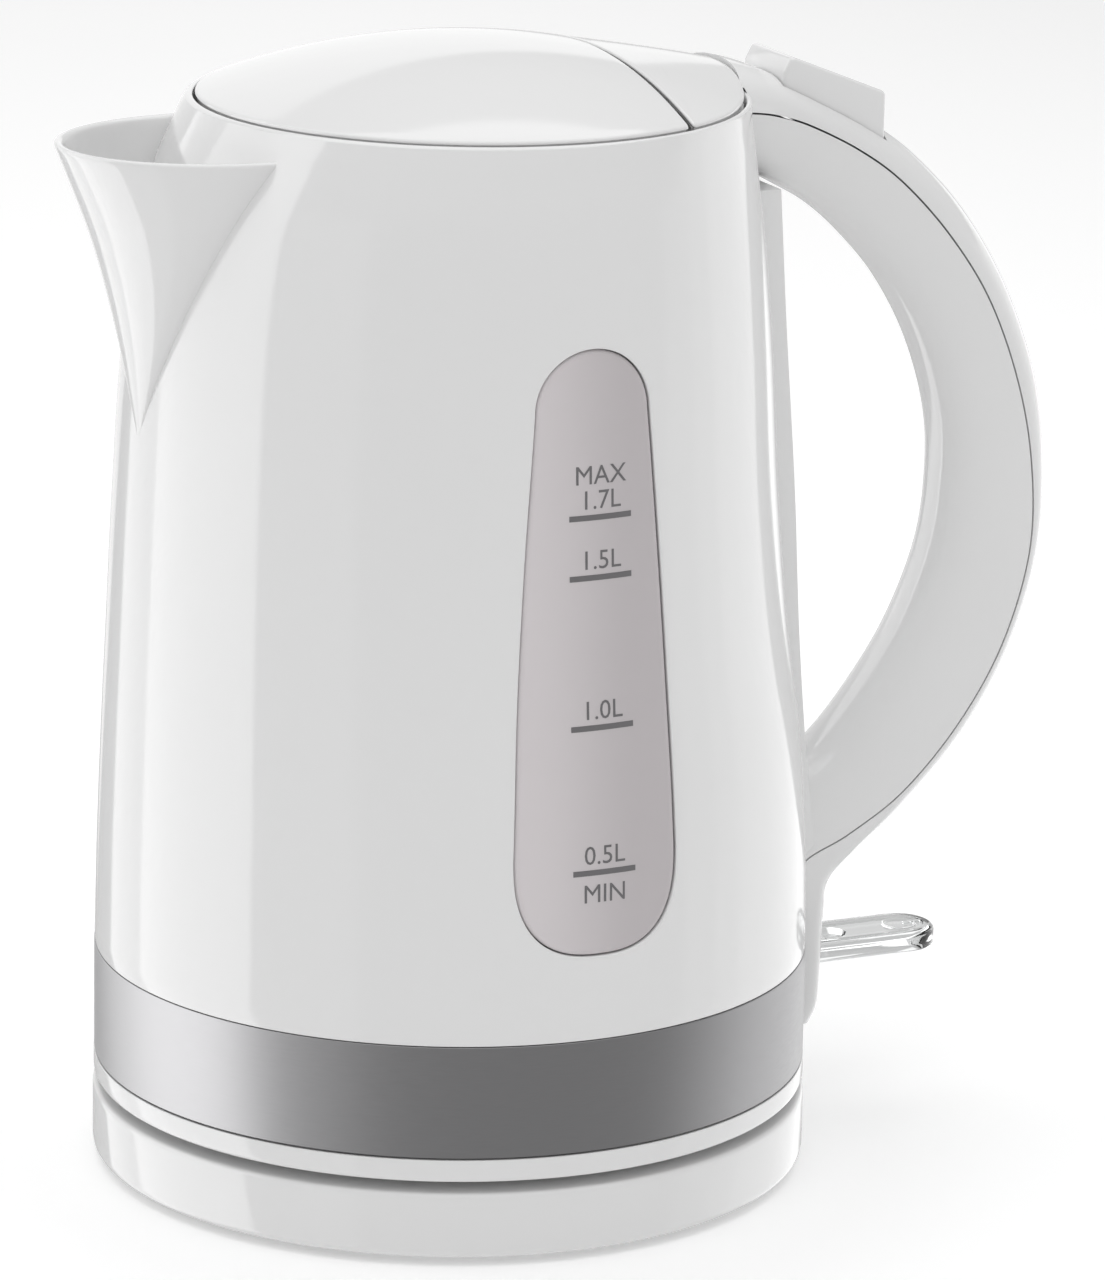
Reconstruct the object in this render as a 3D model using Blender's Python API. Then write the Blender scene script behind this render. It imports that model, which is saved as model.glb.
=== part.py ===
"""Cordless electric kettle on its round power base.

Metres, +Z up. The origin is on the kettle's axis at the level of the table. The handle points
to +X, the spout to -X and the water window to -Y. Sizes are written in millimetres and scaled
by MM. Neighbouring pieces keep GAP between them, which also stands for the seams.
"""
import math

import bmesh
import bpy
import numpy as np

MM = 0.001
GAP = 0.3

# Jug wall: height, radius, and how far the ring's centre lies towards the handle.
WALL = [(48.9, 78.0, 0.0), (70.0, 77.5, -0.1), (95.0, 76.2, -0.6), (120.0, 73.9, -1.9),
        (150.0, 71.8, -2.7), (185.0, 69.5, -2.7), (205.0, 67.2, -2.3), (222.0, 64.0, -1.2),
        (231.5, 61.2, 0.4), (235.0, 60.1, 1.2), (236.2, 59.2, 1.5)]
WALL_THICKNESS = 2.5
SKIRT_RADIUS = 76.9
SKIRT_BOTTOM = 26.0
NECK_RADIUS = 58.8
NECK_BOTTOM = 226.0
TOP_CENTRE = 1.5
RING_SIDES = 56

# Spout: it leaves the wall along two straight edges that open at SPOUT_SPREAD degrees per mm.
SPOUT_APEX = 166.0
SPOUT_RIM = 229.6
SPOUT_SPREAD = 0.455
SPOUT_RIDGE = [(168.0, -73.6), (186.0, -76.6), (207.0, -82.0), (229.6, -91.0)]
SPOUT_POWER = 1.8
LIP = 2.0

# Water window: half-width at each height, with a round top and a flatter round bottom.
WINDOW_SIDES = [(88.0, 18.7), (118.0, 17.6), (150.0, 15.7), (181.3, 13.2)]
WINDOW_BOTTOM = 66.8
WINDOW_X = 0.3

# Lid and the fixed cover behind it share one dome, split along a straight chord.
LID_RADIUS = 58.3
LID_EDGE = 236.2
DOME_RISE = 11.4
REAR_RAISE = 3.4
SHELL = 1.6
SKIRT_LOW = 234.4
CHORD_LID = 28.9
CHORD_COVER = 30.2
HINGE_X = 26.4
HINGE_Z = 241.6
PIN_RADIUS = 0.8
CUP_RADIUS = 55.3
CUP_BOTTOM = 224.5
CUP_CHORD = 24.2

# Handle: seam, crest (outside) and inner face, as matching points (x, z) down its length.
SEAM = [(54.0, 231.6), (62.0, 230.6), (68.0, 229.3), (76.0, 226.6), (88.0, 220.6), (99.0, 212.8),
        (111.1, 200.2), (121.6, 184.9), (129.4, 166.0), (133.6, 147.0), (134.0, 127.0),
        (128.2, 106.5), (118.0, 89.0), (104.5, 74.2), (91.0, 65.4)]
CREST = [(54.0, 241.6), (62.0, 240.0), (69.5, 237.4), (79.5, 233.0), (92.5, 226.4), (104.6, 218.4),
         (117.8, 205.0), (128.8, 187.6), (136.9, 167.0), (139.5, 147.0), (138.3, 126.0),
         (132.0, 105.2), (122.0, 86.8), (108.3, 71.6), (94.8, 61.0)]
INNER = [(54.0, 219.0), (62.0, 217.0), (68.0, 214.6), (74.0, 211.6), (83.0, 206.4), (91.8, 198.9),
         (101.2, 188.2), (109.2, 174.3), (114.4, 158.8), (115.7, 145.0), (113.7, 127.5),
         (106.5, 109.5), (96.5, 94.5), (87.0, 84.0), (78.0, 79.0), (70.0, 75.5), (62.0, 73.0)]
FOOT_SEAM = [(80.0, 60.0), (76.0, 52.0), (76.0, 38.0), (76.0, 27.0), (76.0, 22.0)]
FOOT_CREST = [(87.6, 54.2), (86.6, 47.0), (86.2, 36.0), (85.6, 26.5), (83.4, 22.0)]
COVER_WIDTHS = [27.0, 21.5, 16.5, 13.8]
HANDLE_STATIONS = np.linspace(0, len(SEAM + FOOT_SEAM) - 1, 27)
HANDLE_HALF = 13.0
INNER_HALF = 10.4
HANDLE_WALL = 2.2

# Back plate between the jug and the hand.
PLATE_EDGE = [(64.0, 82.3), (88.9, 79.3), (111.6, 77.2), (144.2, 75.1), (185.6, 71.6),
              (213.0, 69.6)]
PLATE_FOOT = 54.0
PLATE_TOP = 213.0

# Foot of the kettle, and the power base.
BAND = (24.0, 48.5, 77.2, 78.1)
HOUSING_FLOOR = 18.7
HOUSING_TOP = 23.65
HOUSING_RADIUS = 78.2
BASE_RADIUS = 78.4
BASE_TOP = 16.2
BASE_UNDER = 1.5
FOOT_SEAT = 2.0
PLATE_LEVEL = 50.0
SOCKET_RADIUS = 16.5

# Switch lever and lid button.
LEVER_X = 81.3
LEVER_Z = 36.4
LEVER_TIP = 119.0
LEVER_HALF = 8.0
BUTTON_FRONT = 71.0
BUTTON_BACK = 96.0
BUTTON_HALF = 10.0
BUTTON_TOP = (243.6, 232.2)


def clear_scene():
    for item in list(bpy.data.objects):
        bpy.data.objects.remove(item, do_unlink=True)


def material(name, colour, roughness, metallic=0.0):
    """One Principled BSDF material per sub-part."""
    mat = bpy.data.materials.new(name)
    mat.use_nodes = True
    shader = mat.node_tree.nodes["Principled BSDF"]
    shader.inputs["Base Color"].default_value = (*colour, 1.0)
    shader.inputs["Roughness"].default_value = roughness
    shader.inputs["Metallic"].default_value = metallic
    return mat


WHITE = (0.86, 0.86, 0.85)
DARK = (0.03, 0.03, 0.035)
STEEL = (0.62, 0.62, 0.63)
BRASS = (0.75, 0.58, 0.28)


def spline(knots, at):
    """Smooth curve through the knots (first column is the position), read at the positions at."""
    table = np.asarray(knots, float)
    place, value = table[:, 0], table[:, 1:]
    slope = np.gradient(value, place, axis=0)
    at = np.atleast_1d(np.asarray(at, float))
    i = np.clip(np.searchsorted(place, at, side="right") - 1, 0, len(place) - 2)
    step = (place[i + 1] - place[i])[:, None]
    s = (at - place[i])[:, None] / step
    start = (1 + 2 * s) * (1 - s) ** 2 * value[i] + s * (1 - s) ** 2 * step * slope[i]
    end = s ** 2 * (3 - 2 * s) * value[i + 1] + s ** 2 * (s - 1) * step * slope[i + 1]
    return start + end


def wall_at(z):
    """Outer radius and centre of the jug's wall at height z."""
    radius, centre = spline(WALL, min(max(z, WALL[0][0]), WALL[-1][0]))[0]
    return radius, centre


def make(name, mesh_builder, mat, origin=(0.0, 0.0, 0.0)):
    """Turn a bmesh in millimetres into an object whose origin is at a point in millimetres."""
    bm = mesh_builder
    bmesh.ops.recalc_face_normals(bm, faces=bm.faces)
    if bm.calc_volume(signed=True) < 0:
        bmesh.ops.reverse_faces(bm, faces=bm.faces)
    shift = [-c for c in origin]
    bmesh.ops.translate(bm, verts=bm.verts, vec=shift)
    bmesh.ops.scale(bm, verts=bm.verts, vec=(MM, MM, MM))
    mesh = bpy.data.meshes.new(name)
    bm.to_mesh(mesh)
    bm.free()
    obj = bpy.data.objects.new(name, mesh)
    obj.location = [c * MM for c in origin]
    bpy.context.scene.collection.objects.link(obj)
    if mat is not None:
        mesh.materials.append(mat)
        mesh.shade_smooth()
        mesh.set_sharp_from_angle(angle=math.radians(35))
    return obj


def cutter(name, mesh_builder):
    """A guide that only cuts or joins other pieces."""
    obj = make(name, mesh_builder, None)
    obj.hide_render = True
    obj.display_type = "WIRE"
    return obj


def boolean(obj, tool, operation="DIFFERENCE"):
    mod = obj.modifiers.new(operation.lower() + "_" + tool.name, "BOOLEAN")
    mod.operation = operation
    mod.solver = "EXACT"
    mod.object = tool


def loft(sections, ring=False):
    """Solid through matching closed sections; ring joins the last one to the first."""
    bm = bmesh.new()
    rows = [[bm.verts.new(p) for p in section] for section in sections]
    pairs = list(zip(rows, rows[1:]))
    if ring:
        pairs.append((rows[-1], rows[0]))
    else:
        bm.faces.new(rows[0])
        bm.faces.new(list(reversed(rows[-1])))
    count = len(rows[0])
    for low, high in pairs:
        for k in range(count):
            n = (k + 1) % count
            bm.faces.new((low[k], low[n], high[n], high[k]))
    return bm


def circle(radius, z, centre=0.0, sides=RING_SIDES):
    turn = 2 * math.pi / sides
    return [(centre + radius * math.cos(k * turn), radius * math.sin(k * turn), z)
            for k in range(sides)]


def turned(profile, sides=RING_SIDES):
    """Ring or bush: a closed profile of (radius, z) turned about the kettle's axis."""
    return loft([circle(r, z, sides=sides) for r, z in profile], ring=True)


def disc(profile, sides=RING_SIDES, centre=(0.0, 0.0)):
    """Closed turned piece whose first and last rings are filled."""
    rings = []
    for r, z in profile:
        rings.append([(x + centre[0], y + centre[1], z) for x, y, z in circle(r, z, sides=sides)])
    return loft(rings)


def block(low, high):
    (x0, y0, z0), (x1, y1, z1) = low, high
    sections = [[(x0, y0, z), (x1, y0, z), (x1, y1, z), (x0, y1, z)] for z in (z0, z1)]
    return loft(sections)


def prism(outline, y0, y1):
    """Outline of (x, z) points carried along Y."""
    return loft([[(x, y, z) for x, z in outline] for y in (y0, y1)])


def arc(cx, cz, radius, start, end, steps):
    angles = np.radians(np.linspace(start, end, steps))
    return [(cx + radius * math.cos(a), cz + radius * math.sin(a)) for a in angles]


def wall_rings(outset, thickness, heights):
    """Closed set of rings for a wall that follows the jug, outset from it."""
    outer, inner = [], []
    for z in heights:
        radius, centre = wall_at(z)
        outer.append(circle(radius + outset, z, centre))
        inner.append(circle(radius + outset - thickness, z, centre))
    return outer + inner[::-1]


def jug_rings():
    heights = [z for z, _, _ in WALL]
    rings = [circle(SKIRT_RADIUS, SKIRT_BOTTOM), circle(SKIRT_RADIUS, BAND[1] + 0.1)]
    rings += [circle(r, z, c) for z, r, c in WALL]
    rings.append(circle(NECK_RADIUS, heights[-1], TOP_CENTRE))
    rings.append(circle(NECK_RADIUS, NECK_BOTTOM, TOP_CENTRE - 0.7))
    for z in reversed(heights[1:-3]):
        radius, centre = wall_at(z)
        rings.append(circle(radius - WALL_THICKNESS, z, centre))
    rings.append(circle(WALL[0][1] - WALL_THICKNESS, BAND[1] + 0.2))
    rings.append(circle(SKIRT_RADIUS - 2.4, BAND[1] - 0.1))
    rings.append(circle(SKIRT_RADIUS - 2.4, SKIRT_BOTTOM))
    return rings


def jug_envelope(name, gap):
    """The jug's outside with a gap all round it, and the lid's circle carried on upwards."""
    rings = [circle(HOUSING_RADIUS + gap, 10.0), circle(HOUSING_RADIUS + gap, WALL[0][0])]
    rings += [circle(r + gap, z, c) for z, r, c in WALL]
    rings.append(circle(WALL[-1][1] + gap, 270.0, TOP_CENTRE))
    return cutter(name, loft(rings))


def spout_section(z, inset, back):
    """Nose of the spout at height z, closed behind by an arc of the wall moved out by back."""
    radius, centre = wall_at(z)
    spread = math.radians(SPOUT_SPREAD * (z - SPOUT_APEX))
    root = centre - radius * math.cos(spread)
    half = radius * math.sin(spread) - inset
    reach = root - (spline(SPOUT_RIDGE, z)[0][0] + inset)
    points = []
    for angle in np.linspace(0, math.pi, 17):
        side, ahead = math.cos(angle), max(math.sin(angle), 0.0)
        y = half * math.copysign(abs(side) ** (2 / SPOUT_POWER), side)
        points.append((root - reach * ahead ** (2 / SPOUT_POWER), y, z))
    edge = math.asin(min(half / (radius + back), 0.9)) * 0.985
    for angle in np.linspace(-edge, edge, 7):
        points.append((centre - (radius + back) * math.cos(angle),
                       (radius + back) * math.sin(angle), z))
    return points


def spout_solid():
    heights = [168.0, 176.0, 186.0, 196.0, 206.0, 216.0, 223.0, SPOUT_RIM]
    return loft([spout_section(z, 0.0, -1.2) for z in heights])


def spout_channel():
    heights = [187.0, 194.0, 202.0, 210.0, 218.0, 224.0, SPOUT_RIM + 1.0]
    return loft([spout_section(z, LIP, 0.5) for z in heights])


def window_outline(inset):
    """Outline of the water window, drawn in by inset."""
    low, high = WINDOW_SIDES[0][0], WINDOW_SIDES[-1][0]
    wide, narrow = WINDOW_SIDES[0][1] - inset, WINDOW_SIDES[-1][1] - inset
    depth = low - WINDOW_BOTTOM - inset
    points = []
    for angle in np.linspace(math.pi, 2 * math.pi, 11):
        c, s = math.cos(angle), math.sin(angle)
        points.append((WINDOW_X + wide * math.copysign(abs(c) ** (2 / 2.6), c),
                       low - depth * abs(s) ** (2 / 2.6)))
    sides = [(z, spline(WINDOW_SIDES, z)[0][0] - inset) for z in (118.0, 150.0)]
    points += [(WINDOW_X + w, z) for z, w in sides]
    points += arc(WINDOW_X, high, narrow, 0, 180, 11)
    points += [(WINDOW_X - w, z) for z, w in reversed(sides)]
    return points


def dome_height(x, y):
    """Top surface of the lid and of the fixed cover behind it."""
    reach = ((x - TOP_CENTRE) ** 2 + y ** 2) / LID_RADIUS ** 2
    back = min(max((x - CHORD_COVER) / 28.0, 0.0), 1.0)
    raise_by = REAR_RAISE * back ** 1.4 * math.exp(-(y / 23.0) ** 2)
    return LID_EDGE + DOME_RISE * (1 - min(reach, 1.0)) + raise_by


def dome_shell():
    """Domed shell with a short skirt, before it is split at the chord."""
    sides = 44
    outer = [0.03, 0.35, 0.62, 0.84, 1.0]
    rings = []

    def ring(radius, drop, flat=None):
        points = []
        for x, y, _ in circle(radius, 0.0, TOP_CENTRE, sides):
            points.append((x, y, dome_height(x, y) - drop if flat is None else flat))
        return points

    for part in outer:
        rings.append(ring(LID_RADIUS * part, 0.0))
    rings.append(ring(LID_RADIUS, 0.0, SKIRT_LOW))
    rings.append(ring(LID_RADIUS - SHELL, 0.0, SKIRT_LOW))
    for part in reversed(outer[:-1]):
        rings.append(ring((LID_RADIUS - SHELL) * part, SHELL))
    return loft(rings)


def rounded_section(seam, tip, half, tip_half, power, inset, start):
    """Half-open section of a handle shell: seam to tip along the arm, half wide across it."""
    seam, tip = np.array(seam), np.array(tip)
    reach = np.linalg.norm(tip - seam)
    along = (tip - seam) / reach
    points = []
    for angle in np.linspace(0, math.pi, 9):
        c, s = math.cos(angle), max(math.sin(angle), 0.0)
        rise = (reach - inset) * s ** (2 / power)
        share = rise / reach
        wide = (half * (1 - share) + tip_half * share) - inset
        across = wide * math.copysign(abs(c) ** (2 / power), c)
        x, z = seam + along * max(rise, start)
        points.append((x, across, z))
    return points


def channel_section(seam, tip, half, tip_half, power, start):
    outside = rounded_section(seam, tip, half, tip_half, power, 0.0, start)
    inside = rounded_section(seam, tip, half, tip_half, power, HANDLE_WALL, start)
    return outside + inside[::-1]


def handle_seam():
    """Seam between the handle's halves and the handle's half-width there, by station."""
    seams = SEAM + FOOT_SEAM
    widths = COVER_WIDTHS + [HANDLE_HALF] * (len(seams) - len(COVER_WIDTHS))
    return [(k, *seams[k], widths[k]) for k in range(len(seams))]


def handle_cover_solid():
    """Outer half of the handle, from the collar behind the lid down to the switch housing."""
    seams = handle_seam()
    crests = [(k, *point) for k, point in enumerate(CREST + FOOT_CREST)]
    sections = []
    for k in HANDLE_STATIONS:
        sx, sz, half = spline(seams, k)[0]
        cx, cz = spline(crests, k)[0]
        sections.append(channel_section((sx, sz), (cx, cz), half, half, 3.0, 0.7 * GAP))
    return loft(sections)


def handle_shell_solid():
    """Inner half of the handle, where the fingers go."""
    seams = handle_seam()
    sections = []
    for k in HANDLE_STATIONS[(HANDLE_STATIONS > 0.5) & (HANDLE_STATIONS < len(INNER) - 2)]:
        sx, sz, half = spline(seams, k)[0]
        ix, iz = spline([(n, *point) for n, point in enumerate(INNER)], k)[0]
        tip_half = min(half, INNER_HALF)
        sections.append(channel_section((sx, sz), (ix, iz), half, tip_half, 5.0, 0.7 * GAP))
    return loft(sections)


def plate_outline(outset, inner):
    """Side view of the back plate, its outer edge moved out by outset."""
    edge = [(x + outset, z) for z, x in PLATE_EDGE]
    return edge + [(inner, PLATE_TOP), (inner, PLATE_FOOT), (76.6 + outset, PLATE_FOOT),
                   (79.0 + outset, 60.6)]


def build_power_base():
    plastic = material("base_white", WHITE, 0.25)
    dark = material("base_dark", DARK, 0.5)
    outer = [(20.5, BASE_TOP), (77.2, BASE_TOP), (BASE_RADIUS, BASE_TOP - 1.2), (BASE_RADIUS, 5.4),
             (77.2, 2.8), (75.2, 1.8), (74.6, 1.8), (74.6, 5.4), (76.2, 7.0), (76.2, 14.2),
             (20.5, 14.2)]
    shell = make("base_shell", turned(outer), plastic)
    notch = cutter("cut_outlet", block((-5.3, 70.0, 4.7), (5.3, 90.0, 13.3)))
    boolean(shell, notch)
    plate = disc([(54.0, BASE_UNDER), (54.0, FOOT_SEAT), (74.2, FOOT_SEAT), (74.2, 4.0)])
    under = make("base_bottom_plate", plate, plastic)
    make("cord_outlet", outlet_bush(), dark)
    for k in range(3):
        angle = math.radians(90 + 120 * k + 60)
        spot = (46.0 * math.cos(angle), 46.0 * math.sin(angle))
        sink = disc([(3.5, 1.0), (3.5, 2.7), (1.7, 2.7), (1.7, 5.0)], 12, spot)
        boolean(under, cutter(f"cut_base_screw_{k}", sink))
        profile = [(2.4, 1.7), (3.0, 2.3), (1.3, 2.35), (1.3, 12.0)]
        make(f"base_screw_{k + 1}", disc(profile, 12, spot), material("screw_steel", STEEL, 0.3, 1.0))
    for k in range(4):
        angle = math.radians(45 + 90 * k)
        spot = (62.0 * math.cos(angle), 62.0 * math.sin(angle))
        foot = disc([(5.2, 0.0), (6.0, 0.5), (6.0, FOOT_SEAT - GAP)], 16, spot)
        make(f"base_foot_{k + 1}", foot, material("foot_rubber", (0.7, 0.7, 0.7), 0.8))
    socket = [(4.6, 31.0), (SOCKET_RADIUS - 0.8, 31.0), (SOCKET_RADIUS, 30.2),
              (SOCKET_RADIUS, 17.4), (19.8, 16.0), (19.8, 10.0), (4.6, 10.0)]
    tower = make("base_socket", turned(socket, 32), dark)
    for k, radius in enumerate((8.0, 12.2)):
        groove = turned([(radius, 32.0), (radius + 1.8, 32.0), (radius + 1.8, 21.0),
                         (radius, 21.0)], 32)
        boolean(tower, cutter(f"cut_socket_groove_{k}", groove))
    pole = disc([(2.2, 33.0), (3.2, 32.0), (3.2, 12.0), (2.2, 12.0)], 20)
    make("centre_contact", pole, material("contact_brass", BRASS, 0.3, 1.0))
    for k, radius in enumerate((8.25, 12.45)):
        blade = turned([(radius, 29.5), (radius + 1.3, 29.5), (radius + 1.3, 22.0),
                        (radius, 22.0)], 32)
        name = ("live_contact_ring", "neutral_contact_ring")[k]
        make(name, blade, material("ring_brass", BRASS, 0.35, 1.0))


def outlet_bush():
    """Bush in the power base's wall where a mains lead would come out."""
    def ring(radius, y):
        return [(radius * math.cos(a), y, 9.0 + radius * math.sin(a))
                for a in np.linspace(0, 2 * math.pi, 16, endpoint=False)]
    return loft([ring(2.6, 72.0), ring(4.0, 72.0), ring(4.0, 78.0), ring(3.2, 79.2),
                 ring(2.6, 79.2)], ring=True)


def build_jug():
    jug = make("kettle_body", loft(jug_rings(), ring=True), material("body_white", WHITE, 0.18))
    boolean(jug, cutter("join_spout", spout_solid()), "UNION")
    boolean(jug, cutter("cut_spout_channel", spout_channel()))
    boolean(jug, cutter("cut_window", prism(window_outline(0.0), -90.0, -60.0)))
    boolean(jug, cutter("cut_filter", block((-71.8, -12.0, 198.0), (-50.0, 12.0, 222.0))))
    boolean(jug, cutter("cut_latch", block((54.0, -4.6, 229.3), (68.0, 4.6, 233.1))))

    heights = [60.0, 80.0, 95.0, 120.0, 150.0, 185.0, 200.0]
    pane = loft(wall_rings(-0.35, WALL_THICKNESS - 0.5, heights), ring=True)
    window = make("water_window", pane, material("window_smoke", (0.72, 0.69, 0.70), 0.1))
    shape = cutter("shape_window", prism(window_outline(GAP), -90.0, -50.0))
    boolean(window, shape, "INTERSECT")

    frame = loft(wall_rings(0.0, WALL_THICKNESS, [190.0, 205.0, 222.0, 226.0]), ring=True)
    filter_frame = make("filter_frame", frame, material("filter_white", WHITE, 0.4))
    shape = cutter("shape_filter", block((-80.0, -11.7, 198.3), (-50.0, 11.7, 221.7)))
    boolean(filter_frame, shape, "INTERSECT")
    hole = cutter("cut_filter_frame", block((-80.0, -9.0, 201.0), (-50.0, 9.0, 219.0)))
    boolean(filter_frame, hole)
    sheet = loft(wall_rings(-1.0, 0.6, [190.0, 205.0, 222.0, 226.0]), ring=True)
    mesh = make("filter_mesh", sheet, material("filter_steel", STEEL, 0.35, 1.0))
    shape = cutter("shape_filter_mesh", block((-80.0, -8.7, 201.3), (-50.0, 8.7, 218.7)))
    boolean(mesh, shape, "INTERSECT")


def build_foot_of_kettle():
    low, high, inside, outside = BAND
    band = [(inside, high), (outside - 0.4, high), (outside, high - 0.4), (outside, low + 0.4),
            (outside - 0.4, low), (inside, low)]
    make("steel_band", turned(band), material("band_steel", STEEL, 0.28, 1.0))
    housing = [(22.6, HOUSING_FLOOR), (60.0, HOUSING_FLOOR), (60.0, BASE_TOP + GAP),
               (64.0, BASE_TOP + GAP), (64.0, HOUSING_FLOOR), (77.4, HOUSING_FLOOR),
               (HOUSING_RADIUS, 19.5), (HOUSING_RADIUS, HOUSING_TOP), (74.1, HOUSING_TOP),
               (74.1, 33.0), (71.9, 33.0), (71.9, 21.0), (22.6, 21.0)]
    floor = make("bottom_housing", turned(housing), material("housing_white", WHITE, 0.25))
    plate = [(30.0, PLATE_LEVEL), (70.2, PLATE_LEVEL), (70.2, 47.0), (71.0, 47.0),
             (72.0, PLATE_LEVEL + 1.2), (30.0, PLATE_LEVEL + 1.2)]
    profile = [(0.8, PLATE_LEVEL)] + plate + [(0.8, PLATE_LEVEL + 1.2)]
    make("heating_plate", disc(profile, 32),
         material("plate_steel", STEEL, 0.25, 1.0))
    seal = [(72.35, 48.95), (75.15, 48.95), (75.15, 52.2), (73.2, 52.2), (72.35, 51.4)]
    make("plate_seal", turned(seal), material("seal_silicone", (0.75, 0.75, 0.74), 0.7))
    make("heating_element", element_tube(), material("element_sheath", (0.7, 0.7, 0.72), 0.4, 1.0))
    connector = [(17.2, 19.2), (22.2, 19.2), (22.2, 33.6), (5.2, 33.6), (5.2, 32.0), (17.2, 32.0)]
    make("kettle_connector", turned(connector, 32), material("connector_black", DARK, 0.5))
    make("thermostat_control", block((-21.0, -17.0, 34.2), (21.0, 17.0, 43.5)),
         material("control_black", DARK, 0.45))
    for k, side in enumerate((-1, 1)):
        puck = disc([(8.0, 44.0), (9.5, 44.4), (9.5, 45.0), (8.0, 45.4)], 20, (side * 11.0, 0.0))
        make(f"boil_dry_bimetal_{k + 1}", puck, material("bimetal_disc", BRASS, 0.3, 1.0))
    for k in range(3):
        angle = math.radians(30 + 120 * k)
        spot = (50.0 * math.cos(angle), 50.0 * math.sin(angle))
        sink = disc([(3.5, 18.0), (3.5, 19.8), (1.7, 19.8), (1.7, 22.0)], 12, spot)
        boolean(floor, cutter(f"cut_floor_screw_{k}", sink))
        profile = [(2.4, 18.9), (3.0, 19.4), (1.3, 19.45), (1.3, 31.0)]
        make(f"floor_screw_{k + 1}", disc(profile, 12, spot),
             material("floor_screw_steel", STEEL, 0.3, 1.0))


def element_tube():
    """Heating element: three quarters of a ring under the plate, with its cold ends turned down."""
    bend, tube, level = 54.0, 3.6, 45.8
    path = []
    for angle in np.radians(np.linspace(35, 325, 25)):
        path.append((bend * math.cos(angle), bend * math.sin(angle), level, angle))
    sections = []
    for x, y, z, angle in path:
        out = (math.cos(angle), math.sin(angle))
        ring = []
        for turn in np.linspace(0, 2 * math.pi, 8, endpoint=False):
            r, h = tube * math.cos(turn), tube * math.sin(turn)
            ring.append((x + out[0] * r, y + out[1] * r, z + h))
        sections.append(ring)
    return loft(sections)


def build_lid():
    body = make("lid_cover", dome_shell(), material("lid_white", WHITE, 0.18))
    keep = cutter("keep_lid", block((-80.0, -80.0, 200.0), (CHORD_LID, 80.0, 280.0)))
    boolean(body, keep, "INTERSECT")
    cover = make("hinge_cover", dome_shell(), material("hinge_cover_white", WHITE, 0.18))
    keep = cutter("keep_hinge_cover", block((CHORD_COVER, -80.0, 200.0), (80.0, 80.0, 280.0)))
    boolean(cover, keep, "INTERSECT")

    cup = [(0.8, CUP_BOTTOM), (CUP_RADIUS - 1.5, CUP_BOTTOM), (CUP_RADIUS, CUP_BOTTOM + 1.5),
           (CUP_RADIUS, 234.6), (CUP_RADIUS - 1.6, 234.6), (CUP_RADIUS - 1.6, CUP_BOTTOM + 1.6),
           (0.8, CUP_BOTTOM + 1.6)]
    rings = [circle(r, z, TOP_CENTRE, 48) for r, z in cup]
    inner = make("lid_inner", loft(rings), material("lid_inner_white", WHITE, 0.35))
    keep = cutter("keep_lid_inner", block((-80.0, -80.0, 200.0), (CUP_CHORD, 80.0, 280.0)))
    boolean(inner, keep, "INTERSECT")
    wall = cutter("join_cup_wall", block((CUP_CHORD - 1.6, -45.0, CUP_BOTTOM + 0.5),
                                         (CUP_CHORD, 45.0, 237.0)))
    boolean(inner, wall, "UNION")
    for k, side in enumerate((-1, 1)):
        outline = [(22.6, 233.0), (CUP_CHORD, 233.0), (CUP_CHORD, 238.0)]
        outline += arc(HINGE_X, HINGE_Z, 1.5, -35, 125, 8) + [(22.6, 240.0)]
        ear = prism(outline, *sorted((side * 5.2, side * 8.4)))
        boolean(inner, cutter(f"join_lid_ear_{k}", ear), "UNION")
    bore = cutter("cut_lid_bore", prism(arc(HINGE_X, HINGE_Z, 1.1, 0, 330, 12), -9.0, 9.0))
    boolean(inner, bore)
    slot = cutter("cut_catch_slot", block((20.0, -4.6, 229.3), (30.0, 4.6, 233.1)))
    boolean(inner, slot)

    seal = turned([(55.6, 226.6), (57.6, 227.0), (57.6, 228.4), (55.6, 229.0)], 48)
    bmesh.ops.translate(seal, verts=seal.verts, vec=(TOP_CENTRE, 0.0, 0.0))
    ring = make("lid_seal", seal, material("lid_seal_silicone", (0.75, 0.75, 0.74), 0.7))
    keep = cutter("keep_lid_seal", block((-80.0, -80.0, 200.0), (CUP_CHORD - 0.5, 80.0, 280.0)))
    boolean(ring, keep, "INTERSECT")


def build_hinge():
    steel = material("hinge_steel", STEEL, 0.3, 1.0)
    make("hinge_pin", prism(arc(HINGE_X, HINGE_Z, PIN_RADIUS, 0, 330, 12), -12.6, 12.6), steel,
         (HINGE_X, 0.0, HINGE_Z))
    bracket = disc([(58.4, 232.9), (58.4, 234.1)], 48, (TOP_CENTRE, 0.0))
    bracket = make("hinge_bracket", bracket, material("bracket_white", WHITE, 0.35))
    keep = cutter("keep_bracket", block((30.6, -50.0, 230.0), (80.0, 50.0, 240.0)))
    boolean(bracket, keep, "INTERSECT")
    for k, side in enumerate((-1, 1)):
        outline = [(34.0, 234.0), (34.0, 233.0), (25.2, 233.0)]
        outline += arc(HINGE_X, HINGE_Z, 1.5, 200, 0, 8) + [(27.8, 236.0)]
        arm = prism(outline, *sorted((side * 9.0, side * 12.0)))
        boolean(bracket, cutter(f"join_arm_{k}", arm), "UNION")
    bore = cutter("cut_bracket_bore", prism(arc(HINGE_X, HINGE_Z, 1.1, 0, 330, 12), -13.0, 13.0))
    boolean(bracket, bore)
    leaf = [(33.0, 234.4), (48.0, 234.4), (48.0, 234.9), (33.6, 234.9), (29.6, 238.2),
            (29.2, 237.9)]
    make("lid_spring", prism(leaf, -3.0, 3.0), material("spring_steel", STEEL, 0.3, 1.0))


def crest_line(x):
    """Height of the handle cover's crest at x, near the lid button."""
    return spline(CREST[:6], x)[0][0]


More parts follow.
